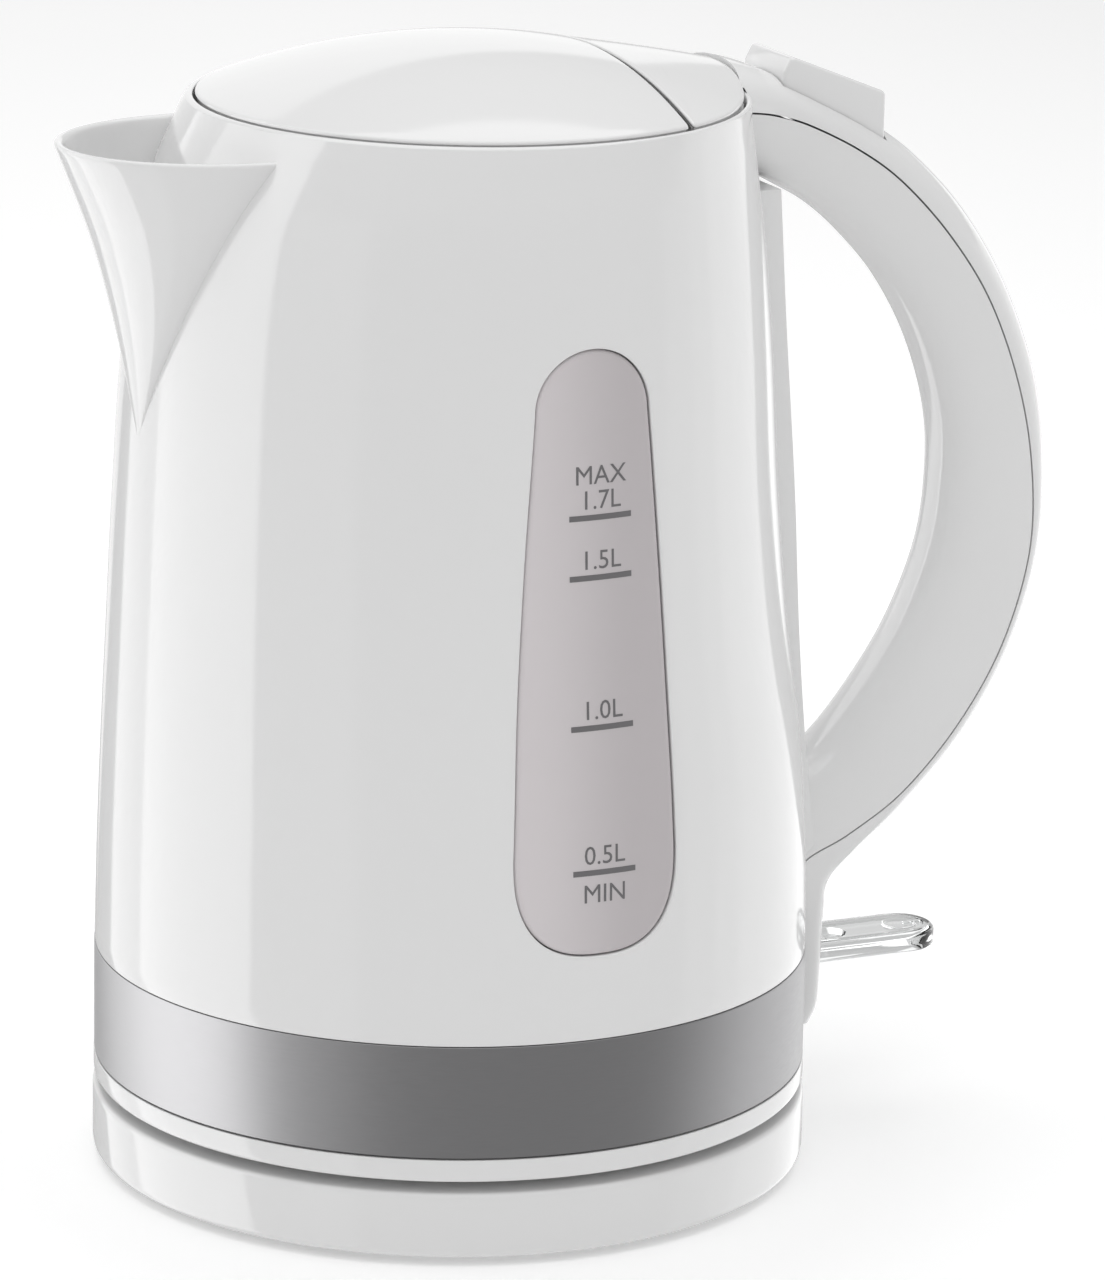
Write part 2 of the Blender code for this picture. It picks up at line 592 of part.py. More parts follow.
def build_handle():
    white = material("handle_white", WHITE, 0.2)
    envelope = jug_envelope("jug_envelope", GAP)
    cover = make("handle_cover", handle_cover_solid(), white)
    boolean(cover, envelope)
    hole = [(BUTTON_FRONT - 0.4, 260.0), (BUTTON_FRONT - 0.4, 230.0),
            (BUTTON_BACK + 0.4, 218.0), (BUTTON_BACK + 0.4, 260.0)]
    boolean(cover, cutter("cut_button", prism(hole, -BUTTON_HALF - 0.4, BUTTON_HALF + 0.4)))
    slot = block((78.0, -LEVER_HALF - 0.6, 31.6), (92.0, LEVER_HALF + 0.6, 40.0))
    boolean(cover, cutter("cut_lever_slot", slot))

    shell = make("handle_shell", handle_shell_solid(), material("handle_inner_white", WHITE, 0.2))
    boolean(shell, envelope)
    keep_off = prism(plate_outline(GAP, 40.0), -HANDLE_HALF - 3, HANDLE_HALF + 3)
    boolean(shell, cutter("clear_plate", keep_off))

    plate = prism(plate_outline(0.0, 50.0), -HANDLE_HALF, HANDLE_HALF)
    plate = make("back_plate", plate, material("back_plate_white", WHITE, 0.22))
    boolean(plate, envelope)
    make("steam_tube", steam_tube_solid(), material("tube_silicone", (0.75, 0.75, 0.74), 0.6))


def steam_tube_solid():
    """Hose inside the hollow handle that leads steam down to the switch."""
    knots = [(k, *(0.62 * np.array(SEAM[k]) + 0.38 * np.array(INNER[k])))
             for k in range(len(SEAM))]
    spots = np.linspace(3.5, len(SEAM) - 1.6, 13)
    line = spline(knots, spots)
    ahead = spline(knots, spots + 0.05) - spline(knots, spots - 0.05)
    rings = []
    for radius in (3.0, 2.0):
        loop = []
        for (x, z), (dx, dz) in zip(line, ahead):
            across = np.array([-dz, dx]) / math.hypot(dx, dz)
            ring = []
            for turn in np.linspace(0, 2 * math.pi, 8, endpoint=False):
                away = across * radius * math.cos(turn)
                ring.append((x + away[0], radius * math.sin(turn), z + away[1]))
            loop.append(ring)
        rings.append(loop)
    return loft(rings[0] + rings[1][::-1], ring=True)


def button_solid():
    """Wedge with a sloping top, cut corners and a bevelled upper edge."""
    under = (crest_line(BUTTON_FRONT) - 5.0, crest_line(BUTTON_BACK) - 5.0)
    sections = []
    for inset, share in ((0.0, 0.0), (0.0, 0.9), (0.5, 0.97), (1.3, 1.0)):
        front, back, half = BUTTON_FRONT + inset, BUTTON_BACK - inset, BUTTON_HALF - inset
        plan = [(front + 1.5, -half), (back - 1.5, -half), (back, 1.5 - half), (back, half - 1.5),
                (back - 1.5, half), (front + 1.5, half), (front, half - 1.5), (front, 1.5 - half)]
        section = []
        for x, y in plan:
            low = np.interp(x, (BUTTON_FRONT, BUTTON_BACK), under)
            high = np.interp(x, (BUTTON_FRONT, BUTTON_BACK), BUTTON_TOP)
            section.append((x, y, low + (high - low) * share))
        sections.append(section)
    return loft(sections)


def build_button():
    """Lid button, its spring and the latch that it draws back."""
    make("lid_button", button_solid(), material("button_white", WHITE, 0.2))
    latch = [(CUP_CHORD + 0.4, 229.8), (64.0, 229.8), (64.0, 222.4), (74.0, 222.4), (74.0, 225.2),
             (67.0, 225.2), (67.0, 232.6), (CUP_CHORD + 0.4, 232.6)]
    make("lid_latch", prism(latch, -4.0, 4.0), material("latch_white", (0.8, 0.8, 0.78), 0.4))


def build_switch():
    outline = arc(LEVER_X, LEVER_Z, 2.2, 60, 300, 9)
    outline += [(86.0, 34.2), (LEVER_TIP - 3.0, 33.6), (LEVER_TIP - 0.6, 34.6),
                (LEVER_TIP, 36.6), (LEVER_TIP - 1.2, 38.4), (LEVER_TIP - 4.0, 38.8), (86.0, 38.6)]
    lever = make("switch_lever", prism(outline, -LEVER_HALF, LEVER_HALF),
                 material("lever_clear", (0.85, 0.87, 0.88), 0.05), (LEVER_X, 0.0, LEVER_Z))
    boolean(lever, cutter("shape_lever_tip", lever_plan()), "INTERSECT")
    bore = cutter("cut_lever_bore", prism(arc(LEVER_X, LEVER_Z, 1.1, 0, 330, 12), -9.0, 9.0))
    boolean(lever, bore)
    make("switch_pin", prism(arc(LEVER_X, LEVER_Z, PIN_RADIUS, 0, 330, 12), -8.9, 8.9),
         material("switch_pin_steel", STEEL, 0.3, 1.0), (LEVER_X, 0.0, LEVER_Z))
    lamp = [[(x, 1.5 * math.cos(a), 43.6 + 1.5 * math.sin(a))
             for a in np.linspace(0, 2 * math.pi, 12, endpoint=False)] for x in (79.6, 82.6)]
    make("indicator_lamp", loft(lamp), material("lamp_lens", (0.9, 0.9, 0.95), 0.1))
    snap = [[(x, 6.5 * math.cos(a), 52.2 + 4.6 * math.sin(a))
             for a in np.linspace(0, 2 * math.pi, 20, endpoint=False)] for x in (79.4, 79.9)]
    make("steam_bimetal", loft(snap), material("steam_bimetal_disc", BRASS, 0.3, 1.0))
    make("switch_contact", block((79.2, -4.0, 24.0), (79.9, 4.0, 32.0)),
         material("switch_brass", BRASS, 0.3, 1.0))


def lever_plan():
    """Plan of the lever: straight sides and a round tip."""
    outline = [(70.0, -LEVER_HALF), (LEVER_TIP - 7.6, -LEVER_HALF)]
    outline += arc(LEVER_TIP - 7.6, 0.0, 7.6, -75, 75, 9)
    outline += [(LEVER_TIP - 7.6, LEVER_HALF), (70.0, LEVER_HALF)]
    return loft([[(x, y, z) for x, y in outline] for z in (20.0, 50.0)])


def main():
    clear_scene()
    build_power_base()
    build_jug()
    build_foot_of_kettle()
    build_lid()
    build_hinge()
    build_handle()
    build_button()
    build_switch()


main()
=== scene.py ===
"""Looks of the electric kettle: fine meshes, materials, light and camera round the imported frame.

The kettle stands at the origin, +Z up, its handle towards +X, its spout towards -X and its water
window towards -Y. Sizes are in millimetres and scaled by MM. They repeat the CAD's sizes, except
those marked "not the CAD's", which follow the photo more closely.
"""
import math

import bpy
import numpy as np
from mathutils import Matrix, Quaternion, Vector

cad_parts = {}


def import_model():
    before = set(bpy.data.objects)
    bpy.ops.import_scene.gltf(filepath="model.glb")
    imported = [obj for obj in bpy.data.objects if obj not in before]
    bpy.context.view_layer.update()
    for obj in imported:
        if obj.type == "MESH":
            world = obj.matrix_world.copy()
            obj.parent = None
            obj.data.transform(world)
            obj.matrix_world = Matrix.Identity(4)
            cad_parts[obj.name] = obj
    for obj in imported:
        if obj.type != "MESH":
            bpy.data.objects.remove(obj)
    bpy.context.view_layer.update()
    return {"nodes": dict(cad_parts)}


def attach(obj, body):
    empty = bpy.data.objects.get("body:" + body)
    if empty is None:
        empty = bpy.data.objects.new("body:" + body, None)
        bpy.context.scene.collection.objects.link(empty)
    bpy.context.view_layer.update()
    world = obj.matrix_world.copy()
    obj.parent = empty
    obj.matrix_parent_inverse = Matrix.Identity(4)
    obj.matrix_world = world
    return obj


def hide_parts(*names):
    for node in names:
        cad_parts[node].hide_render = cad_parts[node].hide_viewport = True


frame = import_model()

MM = 0.001
ROUND = 224          # sides of the large turned pieces

# Jug wall: height, radius, and how far the ring's centre lies towards the handle.
WALL = [(48.9, 78.0, 0.0), (70.0, 77.5, -0.1), (95.0, 76.2, -0.6), (120.0, 73.9, -1.9),
        (150.0, 71.8, -2.7), (185.0, 69.5, -2.7), (205.0, 67.2, -2.3), (222.0, 64.0, -1.2),
        (231.5, 61.2, 0.4), (235.0, 60.1, 1.2), (236.2, 59.2, 1.5)]
WALL_THICKNESS = 2.5
SMOOTHING = 3.5      # half the height over which the gloss averages the wall's slope
SKIRT_RADIUS = 76.9
SKIRT_BOTTOM = 26.0
NECK_RADIUS = 58.8
NECK_BOTTOM = 226.0
RIM_TOP = 235.4      # not the CAD's: lower, so that the lid's edge and seam show
TOP_CENTRE = 1.5

# Spout
SPOUT_APEX = 166.0
SPOUT_RIM = 229.6
SPOUT_SPREAD = 0.455
SPOUT_RIDGE = [(168.0, -73.6), (186.0, -76.6), (207.0, -82.0), (229.6, -91.0)]
SPOUT_POWER = 2.0    # not the CAD's
LIP = 2.0

# Water window
WINDOW_SIDES = [(88.0, 18.7), (118.0, 17.6), (150.0, 15.7), (181.3, 13.2)]
WINDOW_BOTTOM = 66.8
WINDOW_X = 0.3
PANE_SUNK = 0.35
PANE_GAP = 0.22
PANE_ROUND = 0.9
RIM_ROUND = 0.45

# Lid and the fixed cover behind it: one dome, split along two chords
LID_RADIUS = 58.3
LID_EDGE = 236.2
DOME_RISE = 11.4
REAR_RAISE = 3.4
SHELL = 1.6
UNDERCUT = 0.45      # shadow gap under the rounded rim
LID_FILLET = 0.6
CORNER_TURN = 0.02   # how much of the circle, in radians, rounds each end of a chord
LID_CENTRE = (-8.0, 0.0)
COVER_CENTRE = (42.0, 0.0)
SKIRT_LOW = 234.4
CHORD_LID = 28.9
CHORD_COVER = 30.2
COLLAR_RADIUS = 58.5 # not the CAD's

# Handle: seam, crest and inner face, as matching stations (x, z) down its length
SEAM = [(54.0, 231.6), (62.0, 230.6), (68.0, 229.3), (76.0, 226.6), (88.0, 220.6), (99.0, 212.8),
        (111.1, 200.2), (121.6, 184.9), (129.4, 166.0), (133.6, 147.0), (134.0, 127.0),
        (128.2, 106.5), (118.0, 89.0), (104.5, 74.2), (91.0, 65.4)]
CREST = [(54.0, 241.6), (62.0, 240.0), (69.5, 237.4), (79.5, 233.0), (92.5, 226.4), (104.6, 218.4),
         (117.8, 205.0), (128.8, 187.6), (136.9, 167.0), (139.5, 147.0), (138.3, 126.0),
         (132.0, 105.2), (122.0, 86.8), (108.3, 71.6), (94.8, 61.0)]
INNER = [(54.0, 219.0), (62.0, 217.0), (68.0, 214.6), (74.0, 211.6), (83.0, 206.4), (91.8, 198.9),
         (101.2, 188.2), (109.2, 174.3), (114.4, 158.8), (115.7, 145.0), (113.7, 127.5),
         (106.5, 109.5), (96.5, 94.5), (87.0, 84.0), (78.0, 79.0), (70.0, 75.5), (62.0, 73.0)]
FOOT_SEAM = [(80.0, 60.0), (76.0, 52.0), (76.0, 38.0), (76.0, 27.0), (76.0, 22.0)]
FOOT_CREST = [(87.6, 54.2), (86.6, 47.0), (86.2, 36.0), (85.6, 26.5), (83.4, 22.0)]
COVER_WIDTHS = [19.0, 16.6, 14.9, 13.6]     # not the CAD's: half widths at the first stations
HANDLE_HALF = 13.0
INNER_HALF = 10.4
HANDLE_WALL = 2.2
SEAM_GAP = 0.21
COVER_POWER = (2.4, 7.0)     # not the CAD's: roundness of the section on the arm and at the foot
SHELL_POWER = (3.2, 5.0)     # not the CAD's
POWER_STATIONS = (13.0, 15.5)
COVER_END = 19.0             # last station
SHELL_END = 15.4             # not the CAD's: runs on inside the foot
SOLE = (18.55, 18.97)        # stations of the foot's closed end
SOLE_INSET = 1.1
NO_TAPER = 99.0
WALL_CLEAR = 0.15            # between the handle and the jug
BUTTON_CLEAR = 0.4
BUTTON_REAR_CLEAR = 0.2
LEVER_CLEAR = 0.6
PLATE_EDGE = [(64.0, 82.3), (88.9, 79.3), (111.6, 77.2), (144.2, 75.1), (185.6, 71.6),
              (213.0, 69.6)]
PLATE_FOOT = 54.0

# Foot of the kettle, and the power base
BAND = (24.0, 48.5, 77.2, 78.1)
HOUSING_FLOOR = 18.7
HOUSING_TOP = 23.65
HOUSING_RADIUS = 78.2
BASE_RADIUS = 78.4
BASE_TOP = 16.2
BASE_UNDER = 1.5
FOOT_SEAT = 2.0
SOCKET_RADIUS = 16.5
LEVER = (81.3, 36.4)
LEVER_TIP = 119.0
LEVER_HALF = 8.0
BUTTON = (71.0, 96.0)
BUTTON_HALF = 10.0
BUTTON_TOP = (242.0, 232.2)  # not the CAD's at the front
BUTTON_CORNER = 1.1
BUTTON_SIDE = 4.2            # height of the button's side
BUTTON_LEAN = 1.8


# ---------------------------------------------------------------- mesh helpers
def spline(knots, at):
    """Smooth curve through the knots (first column is the position), read at the positions at."""
    table = np.asarray(knots, float)
    place, value = table[:, 0], table[:, 1:]
    slope = np.gradient(value, place, axis=0)
    at = np.atleast_1d(np.asarray(at, float))
    i = np.clip(np.searchsorted(place, at, side="right") - 1, 0, len(place) - 2)
    step = (place[i + 1] - place[i])[:, None]
    s = (at - place[i])[:, None] / step
    start = (1 + 2 * s) * (1 - s) ** 2 * value[i] + s * (1 - s) ** 2 * step * slope[i]
    end = s ** 2 * (3 - 2 * s) * value[i + 1] + s ** 2 * (s - 1) * step * slope[i + 1]
    return start + end


def wall_at(z):
    """Outer radius and centre of the jug's wall at height z."""
    return spline(WALL, min(max(z, WALL[0][0]), WALL[-1][0]))[0]


def mesh_object(name, points, faces, sharp=35.0):
    mesh = bpy.data.meshes.new(name)
    mesh.from_pydata([tuple(p) for p in np.asarray(points, float) * MM], [], faces)
    mesh.validate()
    mesh.shade_smooth()
    mesh.set_sharp_from_angle(angle=math.radians(sharp))
    obj = bpy.data.objects.new(name, mesh)
    bpy.context.scene.collection.objects.link(obj)
    return obj


def signed_volume(points, faces):
    total = 0.0
    for face in faces:
        a = points[face[0]]
        for b, c in zip(face[1:-1], face[2:]):
            total += np.dot(a, np.cross(points[b], points[c]))
    return total


def loft(name, sections, ring=False, sharp=35.0):
    """Closed mesh through matching closed sections; ring joins the last one to the first."""
    grid = np.asarray(sections, float)
    rows, count, _ = grid.shape
    points = grid.reshape(-1, 3)
    faces = []
    for k in range(rows if ring else rows - 1):
        low, high = k * count, (k + 1) % rows * count
        for n in range(count):
            m = (n + 1) % count
            faces.append((low + n, low + m, high + m, high + n))
    if not ring:
        faces.append(tuple(range(count - 1, -1, -1)))
        faces.append(tuple(range((rows - 1) * count, rows * count)))
    if signed_volume(points, faces) < 0:
        faces = [tuple(reversed(f)) for f in faces]
    return mesh_object(name, points, faces, sharp)


def circle(radius, z, centre=0.0, sides=ROUND):
    angle = np.linspace(0, 2 * math.pi, sides, endpoint=False)
    return np.stack([centre + radius * np.cos(angle), radius * np.sin(angle),
                     np.full(sides, z)], 1)


def rounded(profile, steps=5):
    """Profile of (x, y, corner radius) with each corner turned into an arc."""
    points = []
    for k, (x, y, radius) in enumerate(profile):
        here = np.array([x, y], float)
        if radius <= 0:
            points.append(here)
            continue
        before = np.array(profile[k - 1][:2], float) - here
        after = np.array(profile[(k + 1) % len(profile)][:2], float) - here
        reach = [np.linalg.norm(before), np.linalg.norm(after)]
        before, after = before / reach[0], after / reach[1]
        half = math.acos(np.clip(np.dot(before, after), -1, 1)) / 2
        cut = min(radius / max(math.tan(half), 1e-6), 0.49 * min(reach))
        start, end = here + before * cut, here + after * cut
        for t in np.linspace(0, 1, steps):
            points.append((1 - t) ** 2 * start + 2 * t * (1 - t) * here + t ** 2 * end)
    return points


def turned(name, profile, sides=ROUND, centre=0.0, sharp=35.0):
    """Closed profile of (radius, z, corner radius) turned about the kettle's axis."""
    return loft(name, [circle(r, z, centre, sides) for r, z in rounded(profile)], True, sharp)


def disc(name, profile, sides=48, spot=(0.0, 0.0), sharp=35.0):
    rings = [circle(r, z, 0.0, sides) + (spot[0], spot[1], 0.0) for r, z in profile]
    return loft(name, rings, False, sharp)


def prism(name, outline, y0, y1, sharp=35.0):
    """Outline of (x, z) points carried along Y."""
    return loft(name, [[(x, y, z) for x, z in outline] for y in (y0, y1)], False, sharp)


def block(name, low, high):
    (x0, y0, z0), (x1, y1, z1) = low, high
    plan = [(x0, y0), (x1, y0), (x1, y1), (x0, y1)]
    return loft(name, [[(x, y, z) for x, y in plan] for z in (z0, z1)])


def arc(cx, cz, radius, start, end, steps):
    angles = np.radians(np.linspace(start, end, steps))
    return [(cx + radius * math.cos(a), cz + radius * math.sin(a)) for a in angles]


def apply_modifiers(obj):
    graph = bpy.context.evaluated_depsgraph_get()
    graph.update()
    mesh = bpy.data.meshes.new_from_object(obj.evaluated_get(graph), depsgraph=graph)
    obj.modifiers.clear()
    obj.data = mesh
    return obj


def boolean(obj, tools, operation="DIFFERENCE"):
    """Cut or join obj with throw-away tools, and keep only the result."""
    for tool in tools:
        mod = obj.modifiers.new("cut", "BOOLEAN")
        mod.operation = operation
        mod.solver = "EXACT"
        mod.object = tool
    apply_modifiers(obj)
    for tool in tools:
        bpy.data.objects.remove(tool, do_unlink=True)
    obj.data.shade_smooth()
    obj.data.set_sharp_from_angle(angle=math.radians(35))
    return obj


def soften(obj, width, segments=2, angle=50.0):
    """Small round on the sharp edges of a piece."""
    mod = obj.modifiers.new("soft_edges", "BEVEL")
    mod.width = width * MM
    mod.segments = segments
    mod.limit_method = "ANGLE"
    mod.angle_limit = math.radians(angle)
    apply_modifiers(obj)
    obj.data.shade_smooth()
    obj.data.set_sharp_from_angle(angle=math.radians(40))
    return obj


def dress(obj, body, mat, slot, *nodes):
    """Give a piece its material, set it on its body and hide the nodes it stands for."""
    obj.data.materials.clear()
    obj.data.materials.append(mat)
    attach(obj, body)
    if nodes:
        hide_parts(*nodes)
    return obj


# ---------------------------------------------------------------- materials
def new_material(name, colour, roughness, metallic=0.0):
    mat = bpy.data.materials.new(name)
    mat.use_nodes = True
    shader = mat.node_tree.nodes["Principled BSDF"]
    shader.inputs["Base Color"].default_value = (*colour, 1.0)
    shader.inputs["Roughness"].default_value = roughness
    shader.inputs["Metallic"].default_value = metallic
    return mat, mat.node_tree, shader


def noise(tree, scale, detail=3.0, stretch=(1.0, 1.0, 1.0)):
    """Noise in the object's own metres, stretched along its axes."""
    place = tree.nodes.new("ShaderNodeTexCoord")
    fit = tree.nodes.new("ShaderNodeMapping")
    fit.inputs["Scale"].default_value = stretch
    grain = tree.nodes.new("ShaderNodeTexNoise")
    grain.inputs["Scale"].default_value = scale
    grain.inputs["Detail"].default_value = detail
    tree.links.new(place.outputs["Object"], fit.inputs["Vector"])
    tree.links.new(fit.outputs["Vector"], grain.inputs["Vector"])
    return grain.outputs["Fac"]


def spread(tree, value, low, high):
    """Map 0..1 noise to low..high."""
    node = tree.nodes.new("ShaderNodeMapRange")
    node.inputs["To Min"].default_value = low
    node.inputs["To Max"].default_value = high
    tree.links.new(value, node.inputs["Value"])
    return node.outputs["Result"]


def bump(tree, shader, value, strength, distance):
    node = tree.nodes.new("ShaderNodeBump")
    node.inputs["Strength"].default_value = strength
    node.inputs["Distance"].default_value = distance
    tree.links.new(value, node.inputs["Height"])
    tree.links.new(node.outputs["Normal"], shader.inputs["Normal"])


def tint(tree, shader, value, low, high):
    """Colour that wanders between two close shades."""
    node = tree.nodes.new("ShaderNodeMix")
    node.data_type = "RGBA"
    node.inputs[6].default_value = (*low, 1.0)
    node.inputs[7].default_value = (*high, 1.0)
    tree.links.new(value, node.inputs["Factor"])
    tree.links.new(node.outputs[2], shader.inputs["Base Color"])


def moulded(name, colour, roughness, grain=0.00002, coat=0.0):
    """Injection-moulded plastic: faint flow marks in the colour and a fine skin on the gloss."""
    mat, tree, shader = new_material(name, colour, roughness)
    shader.inputs["Specular IOR Level"].default_value = 0.5
    shader.inputs["Coat Weight"].default_value = coat
    shader.inputs["Coat Roughness"].default_value = 0.04
    flow = noise(tree, 18.0, 2.0)
    dark = tuple(c * 0.985 for c in colour)
    tint(tree, shader, flow, dark, colour)
    skin = noise(tree, 900.0, 2.0)
    tree.links.new(spread(tree, skin, roughness * 0.85, roughness * 1.15),
                   shader.inputs["Roughness"])
    bump(tree, shader, skin, 0.05, grain)
    return mat


def brushed(name, colour, roughness, stretch, scale=260.0, depth=0.00002):
    """Brushed metal: fine scratches along one direction."""
    mat, tree, shader = new_material(name, colour, roughness, 1.0)
    lines = noise(tree, scale, 4.0, stretch)
    tint(tree, shader, lines, tuple(c * 0.93 for c in colour), tuple(min(c * 1.05, 1) for c in colour))
    tree.links.new(spread(tree, lines, roughness * 0.8, roughness * 1.3),
                   shader.inputs["Roughness"])
    bump(tree, shader, lines, 0.08, depth)
    return mat


def window_material():
    mat, tree, shader = new_material("window_smoke", (0.70, 0.66, 0.67), 0.16)
    shader.inputs["Transmission Weight"].default_value = 0.12
    shader.inputs["IOR"].default_value = 1.49
    shader.inputs["Subsurface Weight"].default_value = 0.15
    shader.inputs["Subsurface Radius"].default_value = (0.004, 0.004, 0.004)
    place = tree.nodes.new("ShaderNodeTexCoord")
    parts = tree.nodes.new("ShaderNodeSeparateXYZ")
    tree.links.new(place.outputs["Object"], parts.inputs["Vector"])
    # Painted shade: the pane's colour runs from a lighter smoke tone on its left to a darker one on
    # its right, along object X. The smoke tint is the pane's own colour; the left-to-right fall is
    # painted shade.
    side = tree.nodes.new("ShaderNodeMapRange")
    side.interpolation_type = "SMOOTHSTEP"
    side.inputs["From Min"].default_value = -0.016
    side.inputs["From Max"].default_value = 0.010
    tree.links.new(parts.outputs["X"], side.inputs["Value"])
    tint(tree, shader, side.outputs["Result"], (0.765, 0.725, 0.738), (0.60, 0.565, 0.577))
    skin = noise(tree, 1400.0, 2.0)
    bump(tree, shader, skin, 0.04, 0.00002)
    return mat


def clear_material():
    mat, tree, shader = new_material("lever_acrylic", (0.97, 0.98, 0.98), 0.03)
    shader.inputs["Transmission Weight"].default_value = 1.0
    shader.inputs["IOR"].default_value = 1.49
    cloud = noise(tree, 300.0, 2.0)
    tree.links.new(spread(tree, cloud, 0.02, 0.05), shader.inputs["Roughness"])
    return mat


def rubber(name, colour):
    mat, tree, shader = new_material(name, colour, 0.75)
    grit = noise(tree, 1200.0, 3.0)
    tint(tree, shader, grit, tuple(c * 0.92 for c in colour), colour)
    bump(tree, shader, grit, 0.2, 0.00005)
    return mat


WHITE = (0.795, 0.795, 0.795)
M = {
    "white": moulded("white_gloss", WHITE, 0.10),
    "inner": moulded("white_satin", (0.775, 0.775, 0.775), 0.32),
    "black": moulded("black_satin", (0.025, 0.025, 0.028), 0.38, 0.00004),
    "steel": brushed("steel_satin", (0.272, 0.27, 0.275), 0.38, (1.0, 1.0, 14.0)),
    "plain": brushed("steel_plain", (0.60, 0.60, 0.61), 0.3, (6.0, 1.0, 1.0)),
    "brass": brushed("contact_brass", (0.76, 0.60, 0.30), 0.3, (1.0, 5.0, 1.0)),
    "element": brushed("element_sheath", (0.66, 0.66, 0.67), 0.42, (1.0, 1.0, 1.0)),
    "silicone": rubber("silicone", (0.72, 0.72, 0.71)),
    "rubber": rubber("foot_rubber", (0.55, 0.55, 0.55)),
    "window": window_material(),
    "clear": clear_material(),
    "print": rubber("mark_print", (0.16, 0.155, 0.16)),
}


# ---------------------------------------------------------------- jug, spout, window
def wall_normals(obj):
    """Give the jug's outside the wall's true normals, so that the cuts leave no dents in the gloss."""
    mesh = obj.data
    count = len(mesh.loops)
    normals = np.zeros(count * 3)
    mesh.corner_normals.foreach_get("vector", normals)
    normals = normals.reshape(-1, 3)
    index = np.zeros(count, int)
    mesh.loops.foreach_get("vertex_index", index)
    place = np.zeros(len(mesh.vertices) * 3)
    mesh.vertices.foreach_get("co", place)
    place = place.reshape(-1, 3)[index] / MM
    owner = np.zeros(count, int)
    for face in mesh.polygons:
        owner[face.loop_start:face.loop_start + face.loop_total] = face.index
    flat = np.zeros(len(mesh.polygons) * 3)
    mesh.polygons.foreach_get("normal", flat)
    flat = flat.reshape(-1, 3)[owner]
    z = np.clip(place[:, 2], WALL[0][0], WALL[-1][0])
    top, low = np.minimum(z + SMOOTHING, 235.2), np.maximum(z - SMOOTHING, WALL[0][0])
    here, above, below = spline(WALL, z), spline(WALL, top), spline(WALL, low)
    run = top - low
    away = np.stack([place[:, 0] - here[:, 1], place[:, 1]], 1)
    reach = np.linalg.norm(away, axis=1)
    away /= reach[:, None]
    slope = ((above - below)[:, 0] + (above - below)[:, 1] * away[:, 0]) / run
    true = np.stack([away[:, 0], away[:, 1], -slope], 1)
    true /= np.linalg.norm(true, axis=1)[:, None]
    fits = np.abs(reach - here[:, 0]) < 0.08
    fits &= (place[:, 2] > WALL[0][0] + 0.1) & (place[:, 2] < 235.0)
    fits &= np.einsum("ij,ij->i", flat, true) > 0.95
    normals[fits] = true[fits]
    mesh.normals_split_custom_set([tuple(n) for n in normals])


def jug():
    heights = np.concatenate([np.linspace(48.9, 222.0, 52), np.linspace(224.0, 234.9, 12)])
    rings = [circle(SKIRT_RADIUS, SKIRT_BOTTOM), circle(SKIRT_RADIUS, 48.6),
             circle(77.75, 48.62), circle(77.95, 48.72)]
    rings += [circle(r, z, c) for z, (r, c) in zip(heights, spline(WALL, heights))]
    rings += [circle(NECK_RADIUS + r, RIM_TOP + z, TOP_CENTRE)
              for r, z in ((1.18, -0.28), (0.95, -0.12), (0.65, -0.02), (0.4, 0.0), (0.2, -0.05),
                           (0.05, -0.2), (0.0, -0.4))]
    rings.append(circle(NECK_RADIUS, NECK_BOTTOM, 0.8))
    inside = np.linspace(222.0, 52.0, 24)
    rings += [circle(r - WALL_THICKNESS, z, c) for z, (r, c) in zip(inside, spline(WALL, inside))]
    rings += [circle(75.5, 48.7), circle(74.5, 48.4), circle(74.5, SKIRT_BOTTOM)]
    body = loft("jug", rings, ring=True)
    cuts = [prism("cut", window_outline(-RIM_ROUND, 24), -90.0, -60.0),
            block("cut", (-75.0, -12.0, 198.0), (-50.0, 12.0, 222.0)),
            block("cut", (54.0, -4.6, 229.3), (68.0, 4.6, 233.1))]
    boolean(body, cuts)
    wall_normals(body)
    return dress(body, "kettle", M["white"], "white_gloss", "kettle_body")


def spout_section(z, inset, inner):
    """Outer and inner line of the spout's wall at height z, rooted inside the jug's wall."""
    radius, centre = wall_at(z)
    spread_angle = math.radians(SPOUT_SPREAD * (z - SPOUT_APEX))
    root = centre - radius * math.cos(spread_angle)
    lines = []
    for cut in (inset, inner):
        half = max(radius * math.sin(spread_angle) - cut, 0.02)
        reach = max(root - (spline(SPOUT_RIDGE, z)[0][0] + cut), 0.02)
        line = [(root + 1.2, half, z)]
        for angle in np.linspace(0, math.pi, 65):
            side, ahead = math.cos(angle), max(math.sin(angle), 0.0)
            y = half * math.copysign(abs(side) ** (2 / SPOUT_POWER), side)
            line.append((root - reach * ahead ** (2 / SPOUT_POWER), y, z))
        line.append((root + 1.2, -half, z))
        lines.append(line)
    return lines[0] + lines[1][::-1]


def spout():
    sections = [spout_section(z, 0.0, LIP) for z in np.linspace(167.0, SPOUT_RIM - LIP / 2, 48)]
    for turn in np.radians([20, 40, 60, 75, 88]):
        lift = LIP / 2 * math.sin(turn)
        draw = LIP / 2 * (1 - math.cos(turn))
        sections.append(spout_section(SPOUT_RIM - LIP / 2 + lift, draw, LIP - draw))
    return dress(loft("spout", sections, sharp=45), "kettle", M["white"], "white_gloss")


